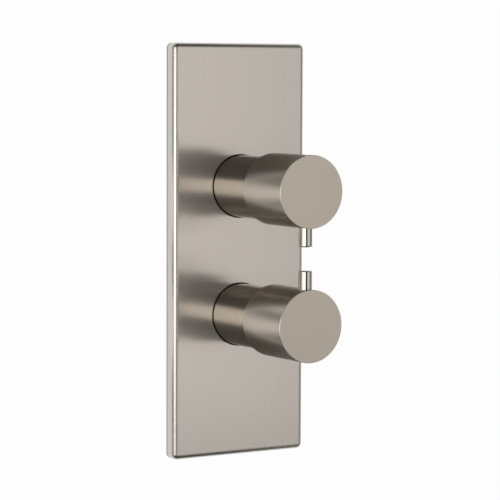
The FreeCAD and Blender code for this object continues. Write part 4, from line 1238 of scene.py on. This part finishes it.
@dataclass
class Stage:
    """Wall, floor, lamps and the cards that shape the reflections."""

    wall_gap: float = 0.4 * MM
    wall_half: float = 2.5
    floor_drop: float = 1.1
    card_height: float = 0.5
    card_drop: float = 0.55
    card_depth: float = 1.7
    card_half: float = 2.2
    pale_from: float = -0.8
    pale_to: float = 0.2
    pale_glow: float = 0.02
    lower_half: float = 5.0
    fade_from: float = 0.7
    fade_to: float = 3.0
    gap_left: float = -20.0
    gap_right: float = 2.0
    gap_distance: float = 1.5
    right_place: float = 0.35
    right_depth: float = 0.40
    right_glow: float = 0.3
    right_swing: float = 0.12
    felt_cycles: float = 300.0
    shade_near: float = 46.5 * MM
    shade_far: float = 400.0 * MM
    shade_turn: float = 85.0 * MM
    shade_blend: float = 25.0 * MM
    shade_half: float = 150.0 * MM
    shade_low: float = 0.3
    band_drop: float = 8.0 * MM
    band_full: float = 4.0 * MM
    band_end: float = 34.0 * MM
    world_light: float = 0.55

    def panel(self, name: str, material: bpy.types.Material, corners: Sequence[Spot]) -> bpy.types.Object:
        """Make a flat panel that belongs to the stage.

        Args:
            name: Its name.
            material: What it is made of.
            corners: Its corners in order; they run anticlockwise as seen from its front.

        Returns:
            The panel.
        """
        data = bpy.data.meshes.new(name)
        data.from_pydata([Vector(corner) for corner in corners], [], [tuple(range(len(corners)))])
        data.materials.append(material)
        made = bpy.data.objects.new(name, data)
        bpy.context.scene.collection.objects.link(made)
        return made

    def black_level(self, graph: Graph) -> Wire:
        """Give the glow of the cards above and in front: none at their left, faint at their right."""
        return graph.along("X").step_between(self.pale_from, self.pale_to) * self.pale_glow

    def graded_level(self, graph: Graph) -> Wire:
        """Give the glow of the card below: dark near the wall, and paler the further out it is."""
        return (0.0 - graph.along("Y")).step_between(self.fade_from, self.fade_to)

    def grey_level(self, graph: Graph) -> Wire:
        """Give the glow of the card to the right: an even grey with the mottle of felt."""
        return self.right_glow + graph.clouds(self.felt_cycles).swing(self.right_swing)

    def banded_level(self, graph: Graph) -> Wire:
        """Give the glow of the card beside the plate: grey, with a pale band a little below each control."""
        height = graph.along("Z")
        middles = (control_height(side) - self.band_drop for side in Side)
        upper, lower = (1.0 - abs(height - middle).step_between(self.band_full, self.band_end)
                        for middle in middles)
        near = graph.along("X").step_between(-self.shade_turn - self.shade_blend, -self.shade_turn)
        return self.shade_low + upper.larger(lower) * near * (1.0 - self.shade_low)

    def build_room(self) -> None:
        """Build the wall that the plate stands on, and the floor below it."""
        half = self.wall_half
        wall = self.wall_gap
        drop = -self.floor_drop
        wall_paint = RoomPaint("white_wall", WALL_WHITE, 0.0, shown=0.97, clear=True)
        floor_paint = RoomPaint("pale_floor", FLOOR_WHITE, 0.0, shown=0.6, mottle=0.06)
        self.panel("wall", wall_paint.material(),
                   [(-half, wall, drop), (half, wall, drop), (half, wall, half), (-half, wall, half)])
        self.panel("floor", floor_paint.material(),
                   [(-half, -half, drop), (half, -half, drop), (half, half, drop), (-half, half, drop)])

    def build_cards(self) -> None:
        """Hang cards above, below and beside the mixer, which only mirrored rays meet."""
        black = CardFelt("black_card", DARK_FELT, 0.95, self.black_level).material()
        graded = CardFelt("graded_card", DARK_FELT, 0.95, self.graded_level).material()
        grey = CardFelt("grey_card", DARK_FELT, 0.95, self.grey_level).material()
        banded = CardFelt("banded_shade", BLACK, 1.0, self.banded_level, sheen=0.0).material()
        low, high = -self.card_drop, self.card_height
        half, wide, deep = self.card_half, self.lower_half, self.card_depth
        left_end = compass(self.gap_left, self.gap_distance)
        right_end = compass(self.gap_right, self.gap_distance)
        right, out = self.right_place, -self.right_depth
        near, far, up = -self.shade_near, -self.shade_far, self.shade_half
        cards = (
            self.panel("upper_card", black,
                       [(-half, -deep, high), (-half, deep, high), (half, deep, high), (half, -deep, high)]),
            self.panel("lower_card", graded,
                       [(-wide, -wide, low), (wide, -wide, low), (wide, deep, low), (-wide, deep, low)]),
            self.panel("camera_card", black,
                       [(*right_end, low), (*left_end, low), (*left_end, high), (*right_end, high)]),
            self.panel("right_card", grey,
                       [(right, 0.0, low), (right, out, low), (right, out, high), (right, 0.0, high)]),
            self.panel("wall_card", banded,
                       [(far, 0.0, -up), (near, 0.0, -up), (near, 0.0, up), (far, 0.0, up)]),
        )
        for card in cards:
            card.visible_camera = False
            card.visible_diffuse = False
            card.visible_transmission = False
            card.visible_shadow = False

    def light(self) -> None:
        """Light the room: a pale world that shows as white, a soft box to the left and one behind."""
        world = bpy.data.worlds.new("studio")
        bpy.context.scene.world = world
        graph = Graph(world)
        soft, white = (graph.node("ShaderNodeBackground", inputs={"Color": opaque(WHITE), "Strength": level})
                       for level in (self.world_light, 1.0))
        graph.finish("ShaderNodeOutputWorld", graph.mix(shows_background(graph), soft, white))
        SoftBox("left_box", (*compass(-53.0, 1.7), -0.09), wide=1.44, tall=1.04, radiance=1.9).build()
        SoftBox("rear_box", (0.8, 1.6, 0.7), wide=0.9, tall=0.6, radiance=1.2).build()

    def build(self) -> None:
        """Build the stage and light it."""
        self.build_room()
        self.build_cards()
        self.light()


@dataclass(frozen=True)
class PhotoCamera:
    """The camera of the photograph, left of straight on and a little above."""

    azimuth: float = 30.706
    elevation: float = 4.398
    distance: float = 1.21224
    aim: Spot = (0.011142, 0.0, -0.00089)
    roll: float = 0.205
    lens: float = 162.64
    film: float = 36.0

    def place(self) -> Vector:
        """Give the camera's place."""
        turn = math.radians(self.azimuth)
        rise = math.radians(self.elevation)
        level = Vector((-math.sin(turn), -math.cos(turn), 0.0)) * math.cos(rise)
        return (level + Vector((0.0, 0.0, math.sin(rise)))) * self.distance

    def build(self) -> None:
        """Set the camera up and make it the scene's own."""
        data = bpy.data.cameras.new("photo_camera")
        data.sensor_width = self.film
        data.lens = self.lens
        made = bpy.data.objects.new("photo_camera", data)
        made.location = self.place()
        made.rotation_mode = "QUATERNION"
        level = (Vector(self.aim) - made.location).to_track_quat("-Z", "Y")
        made.rotation_quaternion = level @ Quaternion((0.0, 0.0, 1.0), math.radians(self.roll))
        bpy.context.scene.collection.objects.link(made)
        bpy.context.scene.camera = made


def dress_inside(finishes: Finishes) -> None:
    """Give every CAD node that stays its finish, by the slot that the record gives it."""
    for entry in frame["record"]["subparts"]:
        node = frame["nodes"][entry["node"]]
        slot = entry["material_slot"]
        if slot not in finishes.made or node.hide_render:
            continue
        node.data.materials.clear()
        node.data.materials.append(finishes[slot])
        log.info("%s: %s", entry["node"], slot)


def main() -> None:
    """Build the mixer's looks, its stage and its camera."""
    logging.basicConfig(level=logging.INFO, format="%(message)s")
    bpy.context.scene.view_settings.view_transform = "Standard"
    finishes = Finishes()
    Plate().build(finishes)
    for side in Side:
        Control(side).build(finishes)
    for port in Port:
        Union(port).build(finishes)
    springs = (
        Spring("temp_return_spring", "thermostat", (0.0, -1.0, 0.0), wire=1.3 * MM, pitch=3.2 * MM),
        Spring("hot_check_spring", "hot_check", (-1.0, 0.0, 0.0), wire=0.7 * MM, pitch=2.8 * MM),
        Spring("cold_check_spring", "cold_check", (1.0, 0.0, 0.0), wire=0.7 * MM, pitch=2.8 * MM),
    )
    for spring in springs:
        spring.build(finishes)
    dress_inside(finishes)
    Stage().build()
    PhotoCamera().build()


if __name__ == "__main__":
    main()
